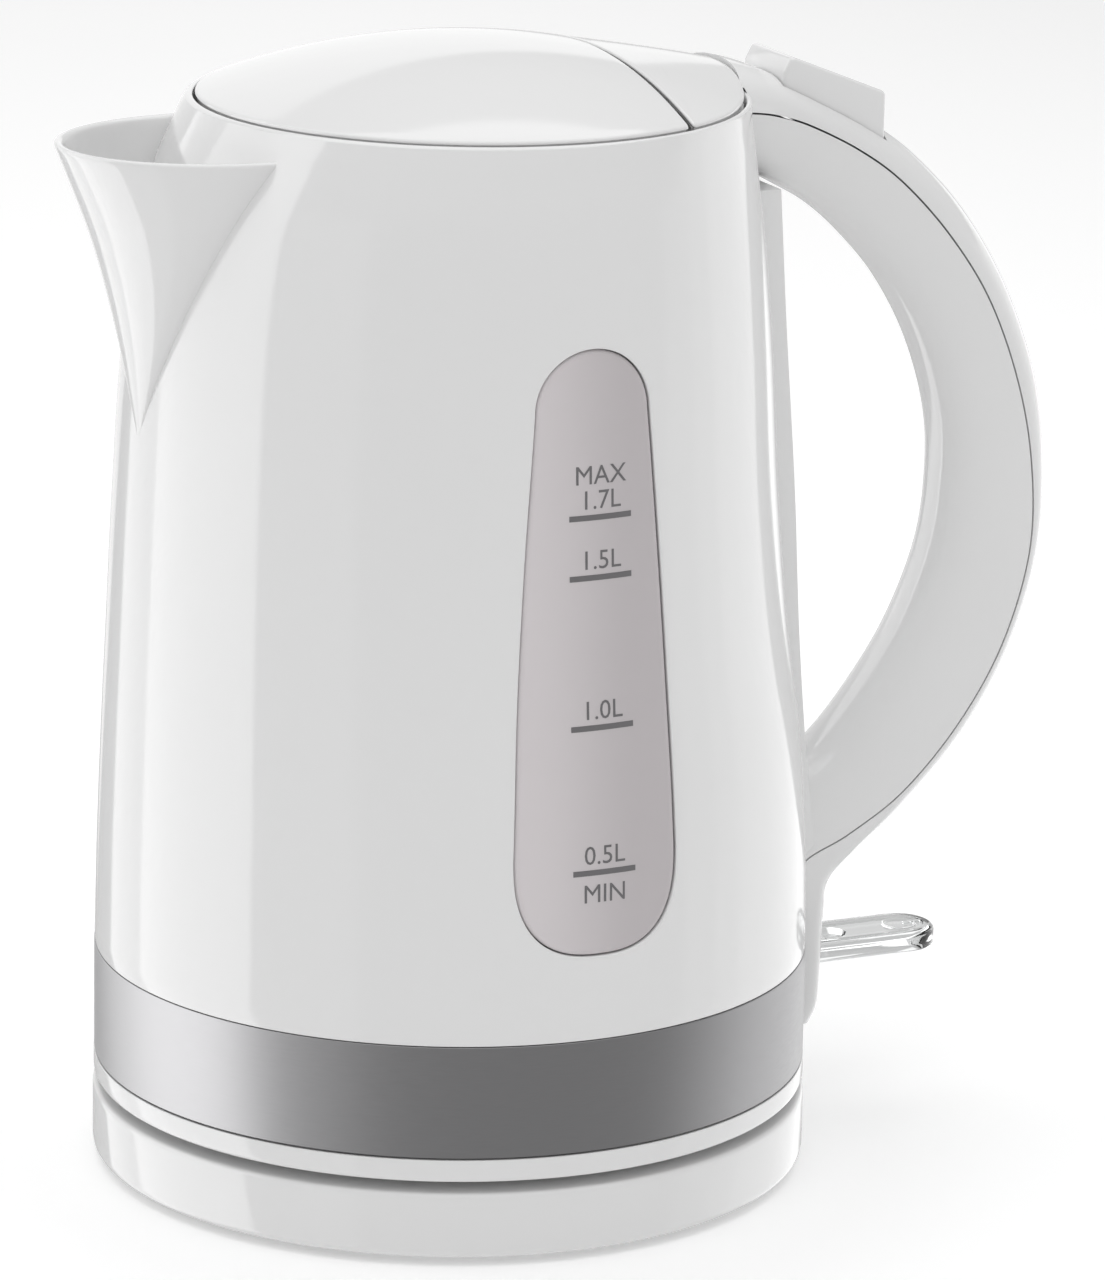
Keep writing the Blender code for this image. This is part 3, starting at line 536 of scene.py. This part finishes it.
def window_outline(inset, fine):
    """Outline of the water window, drawn in by inset."""
    low, high = WINDOW_SIDES[0][0], WINDOW_SIDES[-1][0]
    wide, narrow = WINDOW_SIDES[0][1] - inset, WINDOW_SIDES[-1][1] - inset
    depth = low - WINDOW_BOTTOM - inset
    points = []
    for angle in np.linspace(math.pi, 2 * math.pi, 3 * fine):
        c, s = math.cos(angle), math.sin(angle)
        points.append((WINDOW_X + wide * math.copysign(abs(c) ** (2 / 2.6), c),
                       low - depth * abs(s) ** (2 / 2.6)))
    heights = np.linspace(low, high, fine + 2)[1:-1]
    sides = [(z, w - inset) for z, (w,) in zip(heights, spline(WINDOW_SIDES, heights))]
    points += [(WINDOW_X + w, z) for z, w in sides]
    points += arc(WINDOW_X, high, narrow, 0, 180, 3 * fine)
    points += [(WINDOW_X - w, z) for z, w in reversed(sides)]
    return points


def on_wall(x, z, sunk):
    """Point on the jug's window side at x and z, sunk below the wall's surface."""
    radius, centre = wall_at(z)
    radius -= sunk
    return (x, -math.sqrt(max(radius ** 2 - (x - centre) ** 2, 0.0)), z)


def edge_distance(points, outline):
    """Distance from each (x, z) point to the closed outline."""
    start = np.array(outline)
    run = np.roll(start, -1, 0) - start
    gap = np.asarray(points)[:, None, :] - start[None]
    share = np.clip((gap * run).sum(2) / (run ** 2).sum(1), 0, 1)
    return np.linalg.norm(gap - share[..., None] * run, axis=2).min(1)


def window():
    """Pane of slices across, its face rounded off towards the edge, and the rim of its opening."""
    outline = window_outline(PANE_GAP, 40)
    shape = np.array(outline)
    low, high = shape[:, 1].min() + 0.02, shape[:, 1].max() - 0.02
    turn = np.linspace(0, math.pi, 140)
    heights = low + (high - low) * (1 - np.cos(turn)) / 2
    across = np.sin(np.linspace(-math.pi / 2, math.pi / 2, 41))
    right = shape[shape[:, 0] > WINDOW_X]
    right = right[np.argsort(right[:, 1])]
    sections = []
    for z in heights:
        half = np.interp(z, right[:, 1], right[:, 0]) - WINDOW_X
        flat = [(WINDOW_X + half * a, z) for a in across]
        depth = np.clip(1 - edge_distance(flat, outline) / PANE_ROUND, 0, 1)
        sunk = PANE_SUNK + PANE_ROUND * (1 - np.sqrt(1 - depth ** 2))
        front = [on_wall(x, z, d) for (x, z), d in zip(flat, sunk)]
        back = [on_wall(x, z, WALL_THICKNESS - 0.1) for x, z in flat[::-1]]
        sections.append(front + back)
    pane = loft("window_pane", sections, sharp=60)
    dress(pane, "kettle", M["window"], "window_clear", "water_window")

    outline = np.array(window_outline(0.0, 24))
    along = np.roll(outline, -1, 0) - np.roll(outline, 1, 0)
    along /= np.linalg.norm(along, axis=1)[:, None]
    inward = np.stack([-along[:, 1], along[:, 0]], 1)
    steps = [(-RIM_ROUND - 0.4, 0.02), (-RIM_ROUND, 0.02)]
    steps += [(-RIM_ROUND * (1 - math.sin(t)), 0.02 + RIM_ROUND * (1 - math.cos(t)))
              for t in np.linspace(0, math.pi / 2, 7)[1:]]
    steps += [(0.0, WALL_THICKNESS - 0.1), (-RIM_ROUND - 0.4, WALL_THICKNESS - 0.1)]
    sections = []
    for (x, z), (ux, uz) in zip(outline, inward):
        sections.append([on_wall(x + ux * i, z + uz * i, d) for i, d in steps])
    dress(loft("window_rim", sections, True, 50), "kettle", M["white"], "white_gloss")


def mark_text(name, text, size, x, z):
    curve = bpy.data.curves.new(name, "FONT")
    curve.body = text
    curve.size = size * MM
    curve.align_x = "CENTER"
    curve.resolution_u = 3
    obj = bpy.data.objects.new(name, curve)
    bpy.context.scene.collection.objects.link(obj)
    graph = bpy.context.evaluated_depsgraph_get()
    graph.update()
    mesh = bpy.data.meshes.new_from_object(obj.evaluated_get(graph), depsgraph=graph)
    bpy.data.objects.remove(obj, do_unlink=True)
    points = [on_wall(x + v.co.x / MM, z + v.co.y / MM, PANE_SUNK - 0.04) for v in mesh.vertices]
    faces = [tuple(p.vertices) for p in mesh.polygons]
    return mesh_object(name, points, faces)


def mark_bar(name, x, z, half, thick):
    across = np.linspace(-half, half, 13)
    loop = [(x + a, z) for a in across] + [(x + a, z + thick) for a in across[::-1]]
    points = [on_wall(px, pz, PANE_SUNK - 0.04) for px, pz in loop]
    count = len(across)
    faces = [(k, k + 1, 2 * count - 2 - k, 2 * count - 1 - k) for k in range(count - 1)]
    return mesh_object(name, points, faces)


def marks():
    """Litre marks printed on the window: bars with figures, MAX at the top and MIN below."""
    x = 1.5
    for figure, z in (("1.7", 159.0), ("1.5", 146.4), ("1.0", 114.8), ("0.5", 84.2)):
        tag = figure.replace(".", "_")
        dress(mark_bar("mark_bar_" + tag, x, z, 7.2, 1.2), "kettle", M["print"], "black_plastic")
        dress(mark_text("mark_figure_" + tag, figure + "L", 5.6, x, z + 2.4), "kettle",
              M["print"], "black_plastic")
    dress(mark_text("mark_max", "MAX", 5.6, x, 166.6), "kettle", M["print"], "black_plastic")
    dress(mark_text("mark_min", "MIN", 5.6, x, 78.4), "kettle", M["print"], "black_plastic")


# ---------------------------------------------------------------- lid and hinge cover
def dome_height(x, y):
    """Top of the dome, with the low hump that leads from the rear cover into the handle."""
    reach = ((x - TOP_CENTRE) ** 2 + y ** 2) / LID_RADIUS ** 2
    back = min(max((x - CHORD_COVER) / 28.0, 0.0), 1.0)
    raise_by = REAR_RAISE * back ** 1.4 * math.exp(-(y / 23.0) ** 2)
    return LID_EDGE + DOME_RISE * (1 - min(reach, 1.0)) + raise_by


def capped_outline(chord, keep_front, corner):
    """Circle of the lid cut by the chord at x = chord, with its two corners rounded."""
    offset = chord - TOP_CENTRE
    tip = math.acos(offset / LID_RADIUS)
    if keep_front:
        sweep = np.linspace(tip + corner, 2 * math.pi - tip - corner, 200)
    else:
        sweep = np.linspace(-tip + corner, tip - corner, 110)
    outline = [(TOP_CENTRE + LID_RADIUS * math.cos(a), LID_RADIUS * math.sin(a)) for a in sweep]
    side = LID_RADIUS * math.sin(tip)
    trim = LID_RADIUS * corner
    inner = side - trim
    down = -1 if keep_front else 1
    start, end = np.array(outline[-1]), np.array((chord, down * inner))
    knee = np.array((chord, down * side))
    turn = [(1 - t) ** 2 * start + 2 * t * (1 - t) * knee + t * t * end
            for t in np.linspace(0, 1, 7)[1:]]
    outline += [tuple(p) for p in turn]
    outline += [(chord, y) for y in np.linspace(down * inner, -down * inner, 70)[1:-1]]
    outline += [(x, -y) for x, y in turn[::-1]]
    return np.array(outline)


def crowned(name, chord, keep_front, centre):
    """Thin domed shell with a rounded rim, and a short skirt on its round side only."""
    outline = capped_outline(chord, keep_front, CORNER_TURN)
    on_chord = np.abs(outline[:, 0] - chord) < 0.3
    after, before = np.roll(outline, -1, 0), np.roll(outline, 1, 0)
    tangent = after - before
    tangent /= np.linalg.norm(tangent, axis=1)[:, None]
    inward = np.stack([-tangent[:, 1], tangent[:, 0]], 1)
    if np.mean(np.einsum("ij,ij->i", inward, np.array(centre) - outline)) < 0:
        inward = -inward

    def ring(inset, drop):
        return [(x, y, dome_height(x, y) - drop) for x, y in outline + inward * inset]

    def skirt(inset):
        """Lower edge. A skirt on the chord would cut through the hinge bracket."""
        edge = []
        for (x, y), straight in zip(outline + inward * inset, on_chord):
            edge.append((x, y, max(SKIRT_LOW, dome_height(x, y) - SHELL) if straight else SKIRT_LOW))
        return edge

    rows = [ring(SHELL, SHELL), skirt(SHELL), skirt(UNDERCUT), ring(UNDERCUT, LID_FILLET + 0.02)]
    for turn in np.radians([0, 15, 30, 45, 60, 75, 90]):
        rows.append(ring(LID_FILLET * (1 - math.cos(turn)), LID_FILLET * (1 - math.sin(turn))))
    rim = outline + inward * LID_FILLET
    for share in np.linspace(0.04, 0.985, 34):
        flat = rim + (np.array(centre) - rim) * share
        rows.append([(x, y, dome_height(x, y)) for x, y in flat])
    under = []
    start = outline + inward * (SHELL + 0.05)
    for share in np.linspace(0.985, 0.02, 14):
        flat = start + (np.array(centre) - start) * share
        under.append([(x, y, dome_height(x, y) - SHELL) for x, y in flat])
    return loft(name, under + rows, sharp=50)


def lid():
    cover = crowned("lid_dome", CHORD_LID, True, LID_CENTRE)
    dress(cover, "lid", M["white"], "white_gloss", "lid_cover")
    rear = crowned("rear_dome", CHORD_COVER, False, COVER_CENTRE)
    dress(rear, "kettle", M["white"], "white_gloss", "hinge_cover")


# ---------------------------------------------------------------- handle
def rounded_section(seam, tip, half, tip_half, power, inset, start, count):
    """Half-open section of a handle shell: seam to tip along the arm, half wide across it."""
    seam, tip = np.array(seam), np.array(tip)
    reach = np.linalg.norm(tip - seam)
    along = (tip - seam) / reach
    points = []
    for angle in np.linspace(0, math.pi, count):
        c, s = math.cos(angle), max(math.sin(angle), 0.0)
        rise = (reach - inset) * s ** (2 / power)
        share = rise / reach
        wide = (half * (1 - share) + tip_half * share) - inset
        across = wide * math.copysign(abs(c) ** (2 / power), c)
        x, z = seam + along * max(rise, start)
        points.append((x, across, z))
    return points


def handle_seam():
    """Stations of the seam: number, x, z and half width."""
    seams = SEAM + FOOT_SEAM
    widths = COVER_WIDTHS + [HANDLE_HALF] * (len(seams) - len(COVER_WIDTHS))
    return [(k, *seams[k], widths[k]) for k in range(len(seams))]


def handle_part(name, tips, tip_half, power, first, last, steps, insets=(0.0, HANDLE_WALL)):
    """Half of the handle between two stations: a shell, or a solid when there is one inset."""
    seams = handle_seam()
    ends = [(k, *point) for k, point in enumerate(tips)]
    sections = []
    for k in np.linspace(first, last, steps):
        sx, sz, half = spline(seams, k)[0]
        tx, tz = spline(ends, k)[0]
        narrow = min(half, tip_half)
        boxy = np.interp(k, POWER_STATIONS, power)
        wall = [rounded_section((sx, sz), (tx, tz), half, narrow, boxy, inset, SEAM_GAP, 41)
                for inset in insets]
        sections.append(wall[0] + (wall[1][::-1] if len(wall) == 2 else []))
    return loft(name, sections, sharp=50)


def jug_envelope(gap):
    """Cutter as large as the kettle's body, grown by gap, with a round collar over the lid."""
    rings = [circle(HOUSING_RADIUS + gap, 10.0), circle(HOUSING_RADIUS + gap, WALL[0][0])]
    heights = np.concatenate([np.linspace(49.5, 222.0, 40), np.linspace(224.0, 236.2, 14)])
    rings += [circle(r + gap, z, c) for z, (r, c) in zip(heights, spline(WALL, heights))]
    rings += [circle(COLLAR_RADIUS, 236.7, TOP_CENTRE), circle(COLLAR_RADIUS, 270.0, TOP_CENTRE)]
    return loft("envelope", rings)


def plate_outline(outset, inner):
    """Side view of the plate between the jug and the handle."""
    heights = np.linspace(PLATE_EDGE[0][0], PLATE_EDGE[-1][0], 40)
    edge = [(x + outset, z) for z, (x,) in zip(heights, spline(PLATE_EDGE, heights))]
    return edge + [(inner, PLATE_EDGE[-1][0]), (inner, PLATE_FOOT), (76.6 + outset, PLATE_FOOT),
                   (79.0 + outset, 60.6)]


def handle():
    crest = CREST + FOOT_CREST
    cover = handle_part("handle_back", crest, NO_TAPER, COVER_POWER, 0.0, COVER_END, 170)
    sole = handle_part("cut", crest, NO_TAPER, COVER_POWER, *SOLE, 8, (SOLE_INSET,))
    boolean(cover, [sole], "UNION")
    front, rear = BUTTON[0] - BUTTON_CLEAR, BUTTON[1] + BUTTON_REAR_CLEAR
    hole = [(front, 260.0), (front, 230.0), (rear, 218.0), (rear, 260.0)]
    side, wide = BUTTON_HALF + BUTTON_CLEAR, LEVER_HALF + LEVER_CLEAR
    boolean(cover, [jug_envelope(WALL_CLEAR), prism("cut", hole, -side, side),
                    block("cut", (78.0, -wide, 31.6), (92.0, wide, 40.0))])
    dress(cover, "kettle", M["white"], "white_gloss", "handle_cover")
    shell = handle_part("handle_front", INNER, INNER_HALF, SHELL_POWER, 0.0, SHELL_END, 150)
    boolean(shell, [jug_envelope(WALL_CLEAR), prism("cut", plate_outline(0.1, 40.0), -16.0, 16.0)])
    dress(shell, "kettle", M["white"], "white_gloss", "handle_shell")
    plate = prism("plate", plate_outline(0.0, 50.0), -HANDLE_HALF, HANDLE_HALF)
    boolean(plate, [jug_envelope(0.05)])
    soften(plate, 0.9, 3, 60.0)
    dress(plate, "kettle", M["white"], "white_gloss", "back_plate")


def crest_line(x):
    """Height of the handle's crest at x, near the button."""
    return spline(CREST[:6], x)[0][0]


def rounded_plan(x0, x1, half, corner, steps=6):
    corners = [(x0, -half, corner), (x1, -half, corner), (x1, half, corner), (x0, half, corner)]
    return rounded(corners, steps)


def button():
    """Wedge-shaped lid button: its front leans back and its edges are rounded."""
    under = (crest_line(BUTTON[0]) - 5.0, crest_line(BUTTON[1]) - 5.0)
    sections = []
    edge = [(0.0, -BUTTON_SIDE), (0.0, -0.9), (0.06, -0.6), (0.2, -0.3), (0.45, -0.1), (0.8, 0.0)]
    for x, y in rounded_plan(*BUTTON, BUTTON_HALF, BUTTON_CORNER):
        sections.append((x, y, np.interp(x, BUTTON, under)))
    sections = [sections]
    for inset, drop in edge:
        front = BUTTON[0] + inset + BUTTON_LEAN * (1 + drop / BUTTON_SIDE)
        section = []
        for x, y in rounded_plan(front, BUTTON[1] - inset, BUTTON_HALF - inset, BUTTON_CORNER):
            section.append((x, y, np.interp(x, BUTTON, BUTTON_TOP) + drop))
        sections.append(section)
    dress(loft("opener_button", sections, sharp=50), "button", M["white"], "white_gloss",
          "lid_button")


# ---------------------------------------------------------------- foot, band and power base
def around(radius, first, count):
    """Evenly spaced spots on a circle, the first at the given angle in degrees."""
    angles = [math.radians(first + 360 // count * k) for k in range(count)]
    return [(radius * math.cos(a), radius * math.sin(a)) for a in angles]


def foot():
    low, high, inside, outside = BAND
    band = turned("band", [(inside, high, 0.1), (outside, high, 0.3), (outside, low, 0.3),
                           (inside, low, 0.1)])
    dress(band, "kettle", M["steel"], "steel_brushed", "steel_band")
    ring = [(22.6, HOUSING_FLOOR, 0.3), (60.0, HOUSING_FLOOR, 0), (60.0, BASE_TOP + 0.3, 0.3),
            (64.0, BASE_TOP + 0.3, 0.3), (64.0, HOUSING_FLOOR, 0),
            (HOUSING_RADIUS, HOUSING_FLOOR, 1.1), (HOUSING_RADIUS, HOUSING_TOP, 0.25),
            (74.1, HOUSING_TOP, 0), (74.1, 33.0, 0), (71.9, 33.0, 0), (71.9, 21.0, 0),
            (22.6, 21.0, 0)]
    floor = turned("foot_housing", ring)
    sink = [(3.5, 18.0), (3.5, 19.8), (1.7, 19.8), (1.7, 22.0)]
    boolean(floor, [disc("cut", sink, 32, spot) for spot in around(50.0, 30, 3)])
    dress(floor, "kettle", M["white"], "white_gloss", "bottom_housing")


def power_base():
    profile = [(20.5, BASE_TOP, 0.3), (BASE_RADIUS, BASE_TOP, 1.2), (BASE_RADIUS, 1.8, 3.6),
               (74.6, 1.8, 0.2), (74.6, 5.4, 0), (76.2, 7.0, 0), (76.2, 14.2, 0), (20.5, 14.2, 0)]
    shell = turned("base_housing", profile)
    boolean(shell, [block("cut", (-5.3, 70.0, 4.7), (5.3, 90.0, 13.3))])
    dress(shell, "base", M["white"], "white_gloss", "base_shell")
    step = [(53.7, BASE_UNDER), (54.0, BASE_UNDER + 0.3), (54.0, FOOT_SEAT), (73.9, FOOT_SEAT),
            (74.2, FOOT_SEAT + 0.3), (74.2, 4.0)]
    under = disc("base_underside", step, ROUND)
    sink = [(3.5, 1.0), (3.5, 2.7), (1.7, 2.7), (1.7, 5.0)]
    boolean(under, [disc("cut", sink, 32, spot) for spot in around(46.0, 150, 3)])
    dress(under, "base", M["white"], "white_gloss", "base_bottom_plate")
    pad = [(5.0, 0.0), (5.5, 0.12), (5.9, 0.5), (6.0, 0.9), (6.0, FOOT_SEAT - 0.3)]
    for k, spot in enumerate(around(62.0, 45, 4), 1):
        dress(disc(f"foot_pad_{k}", pad, 48, spot), "base", M["rubber"], "foot_rubber",
              f"base_foot_{k}")
    socket = turned("socket_tower", [(4.6, 31.0, 0.4), (SOCKET_RADIUS, 31.0, 0.9),
                                     (SOCKET_RADIUS, 17.0, 0), (19.8, 16.0, 0.4),
                                     (19.8, 10.0, 0), (4.6, 10.0, 0)], 96)
    grooves = [turned("cut", [(r, 32.0, 0), (r + 1.8, 32.0, 0), (r + 1.8, 21.0, 0),
                              (r, 21.0, 0)], 96) for r in (8.0, 12.2)]
    boolean(socket, grooves)
    dress(socket, "base", M["black"], "black_plastic", "base_socket")


# ---------------------------------------------------------------- switch lever
def ring_bead(name, radius, thick, spot, level, sides=72):
    """Round bead lying flat: a ring of the given radius."""
    x, y = spot
    sections = []
    for a in np.linspace(0, 2 * math.pi, sides, endpoint=False):
        row = []
        for b in np.linspace(0, 2 * math.pi, 12, endpoint=False):
            reach = radius + thick * math.cos(b)
            row.append((x + reach * math.cos(a), y + reach * math.sin(a),
                        level + thick * math.sin(b)))
        sections.append(row)
    return loft(name, sections, True, 60)


def stadium(x0, x1, half, level, steps=14):
    """Level outline with straight sides and a round end at x1."""
    end = [(x1 - half + half * math.cos(a), half * math.sin(a), level)
           for a in np.linspace(-math.pi / 2, math.pi / 2, steps)]
    return [(x0, -half, level)] + end + [(x0, half, level)]


def lever():
    """Clear paddle: round tip, a ledge round its rim, a recess near its root and a raised mark."""
    x, z = LEVER
    sections = []
    for inset, level in ((1.3, 33.7), (0.5, 33.95), (0.15, 34.5), (0.1, 35.5), (0.0, 35.9),
                         (0.0, 37.3), (0.2, 38.0), (0.6, 38.5), (1.1, 38.75), (1.5, 38.8)):
        sections.append(stadium(83.0 + inset / 4, LEVER_TIP - inset, LEVER_HALF - inset, level))
    paddle = loft("lever_paddle", sections, sharp=50)
    hub = prism("cut", arc(x, z, 2.2, 0, 345, 32), -LEVER_HALF, LEVER_HALF)
    neck = block("cut", (x, -LEVER_HALF, z - 1.6), (84.0, LEVER_HALF, z + 1.6))
    boolean(paddle, [hub, neck], "UNION")
    dish = loft("cut", [stadium(90.0, LEVER_TIP - 2.6, LEVER_HALF - 2.6, 38.25),
                        stadium(90.0, LEVER_TIP - 2.1, LEVER_HALF - 2.1, 39.5)])
    slot = loft("cut", [stadium(82.0, 97.0, 3.4, 36.9), stadium(82.0, 97.6, 4.0, 39.5)])
    bore = prism("cut", arc(x, z, 1.1, 0, 345, 24), -9.0, 9.0)
    boolean(paddle, [dish, slot, bore])
    spot = (LEVER_TIP - LEVER_HALF, 0.0)
    mark = ring_bead("cut", 3.6, 0.42, spot, 38.3)
    bar = block("cut", (spot[0] + 1.0, -0.4, 38.0), (spot[0] + 5.2, 0.4, 38.75))
    boolean(paddle, [mark, bar], "UNION")
    dress(paddle, "switch", M["clear"], "lever_clear", "switch_lever")


# ---------------------------------------------------------------- CAD nodes that stay
KEPT = {
    "plain": ["base_screw_1", "base_screw_2", "base_screw_3", "floor_screw_1", "floor_screw_2",
              "floor_screw_3", "hinge_pin", "lid_spring", "switch_pin"],
    "brass": ["live_contact_ring", "neutral_contact_ring", "centre_contact", "steam_bimetal",
              "boil_dry_bimetal_1", "boil_dry_bimetal_2", "switch_contact"],
    "black": ["cord_outlet", "kettle_connector", "thermostat_control"],
    "inner": ["lid_inner", "filter_frame", "hinge_bracket", "lid_latch"],
    "steel": ["heating_plate", "filter_mesh"],
    "element": ["heating_element"],
    "silicone": ["plate_seal", "lid_seal", "steam_tube"],
    "clear": ["indicator_lamp"],
}


def dress_kept_nodes():
    for look, names in KEPT.items():
        for name in names:
            obj = frame["nodes"][name]
            obj.data.materials.clear()
            obj.data.materials.append(M[look])


# ---------------------------------------------------------------- stage, light, camera
def floor():
    mat, tree, shader = new_material("floor_pale", (0.93, 0.93, 0.93), 0.6)
    shader.inputs["Emission Color"].default_value = (1.0, 1.0, 1.0, 1.0)
    shader.inputs["Emission Strength"].default_value = FLOOR_GLOW
    cloud = noise(tree, 2.0, 2.0)
    tint(tree, shader, cloud, (0.925, 0.925, 0.925), (0.935, 0.935, 0.935))
    ring = circle(FLOOR_RADIUS, 0.0, 0.0, 64)
    plane = mesh_object("floor", ring, [tuple(range(64))])
    plane.data.materials.append(mat)
    plane.visible_glossy = False
    plane.visible_transmission = False
    plane.visible_shadow = False


def studio_place(heading, rise, distance, turn):
    """Place and aim of a panel seen from the kettle: heading in degrees left of the camera."""
    angle = math.radians(CAMERA_HEADING) - math.radians(heading)
    up = math.radians(rise)
    aim = Vector((0.0, 0.0, 0.12))
    away = Vector((math.cos(angle) * math.cos(up), math.sin(angle) * math.cos(up), math.sin(up)))
    face = (-away).to_track_quat("-Z", "Y") @ Quaternion((0.0, 0.0, 1.0), math.radians(turn))
    return aim + away * distance, face.to_euler()


def panel(name, heading, rise, distance, width, height, radiance, turn=0.0, diffuse=False):
    """Soft light panel; unless diffuse, only reflections see it."""
    light = bpy.data.lights.new(name, "AREA")
    light.shape = "RECTANGLE"
    light.size, light.size_y = width, height
    light.energy = radiance * math.pi * width * height
    obj = bpy.data.objects.new(name, light)
    obj.location, obj.rotation_euler = studio_place(heading, rise, distance, turn)
    obj.visible_diffuse = diffuse
    obj.visible_camera = False
    bpy.context.scene.collection.objects.link(obj)


CAMERA_PLACE = Vector((-0.5524, -1.2633, 0.4879))
CAMERA_TARGET = Vector((0.0193, -0.0088, 0.1159))
CAMERA_ROLL = 1.10
CAMERA_LENS = 184.95
CAMERA_HEADING = math.degrees(math.atan2(CAMERA_PLACE.y, CAMERA_PLACE.x))
FLOOR_GLOW = 0.2
FLOOR_RADIUS = 24000.0       # wide enough that its edge stays out of level views
WORLD_LEVEL = 0.56


def world():
    world = bpy.data.worlds.new("studio")
    bpy.context.scene.world = world
    world.use_nodes = True
    back = world.node_tree.nodes["Background"]
    back.inputs["Color"].default_value = (1.0, 1.0, 1.0, 1.0)
    back.inputs["Strength"].default_value = WORLD_LEVEL


def camera():
    data = bpy.data.cameras.new("camera")
    data.lens = CAMERA_LENS
    data.sensor_width = 36.0
    data.clip_end = 50.0
    cam = bpy.data.objects.new("camera", data)
    cam.location = CAMERA_PLACE
    look = (CAMERA_TARGET - CAMERA_PLACE).to_track_quat("-Z", "Y")
    cam.rotation_mode = "QUATERNION"
    roll = Vector((0.0, 0.0, 1.0))
    turn = look.copy()
    turn.rotate(Quaternion(look @ roll, math.radians(CAMERA_ROLL)))
    cam.rotation_quaternion = turn
    bpy.context.scene.collection.objects.link(cam)
    bpy.context.scene.camera = cam


def lights():
    """Name, heading, rise, distance, width, height, radiance, turn, and whether it lights all."""
    panel("left_front", 90.0, 0.0, 1.2, 1.15, 2.4, 2.7)
    panel("left_back", 127.0, 0.0, 1.2, 0.5, 2.4, 1.3)
    panel("left_fill", 46.0, -10.0, 1.5, 0.9, 2.0, 0.4)
    panel("right_1", -118.0, -14.0, 1.3, 2.0, 1.25, 0.45)
    panel("right_2", -126.0, -14.0, 1.25, 1.6, 1.2, 0.35)
    panel("right_3", -133.0, -14.0, 1.2, 1.3, 1.15, 0.35)
    panel("behind", 161.8, 10.7, 2.2, 1.75, 1.75, 0.5, -49.0)
    panel("overhead", 0.0, 90.0, 1.4, 2.0, 2.0, 1.15, 0.0, True)


jug()
spout()
window()
marks()
lid()
handle()
button()
foot()
power_base()
lever()
dress_kept_nodes()
floor()
world()
camera()
lights()
bpy.context.scene.view_settings.view_transform = "Standard"
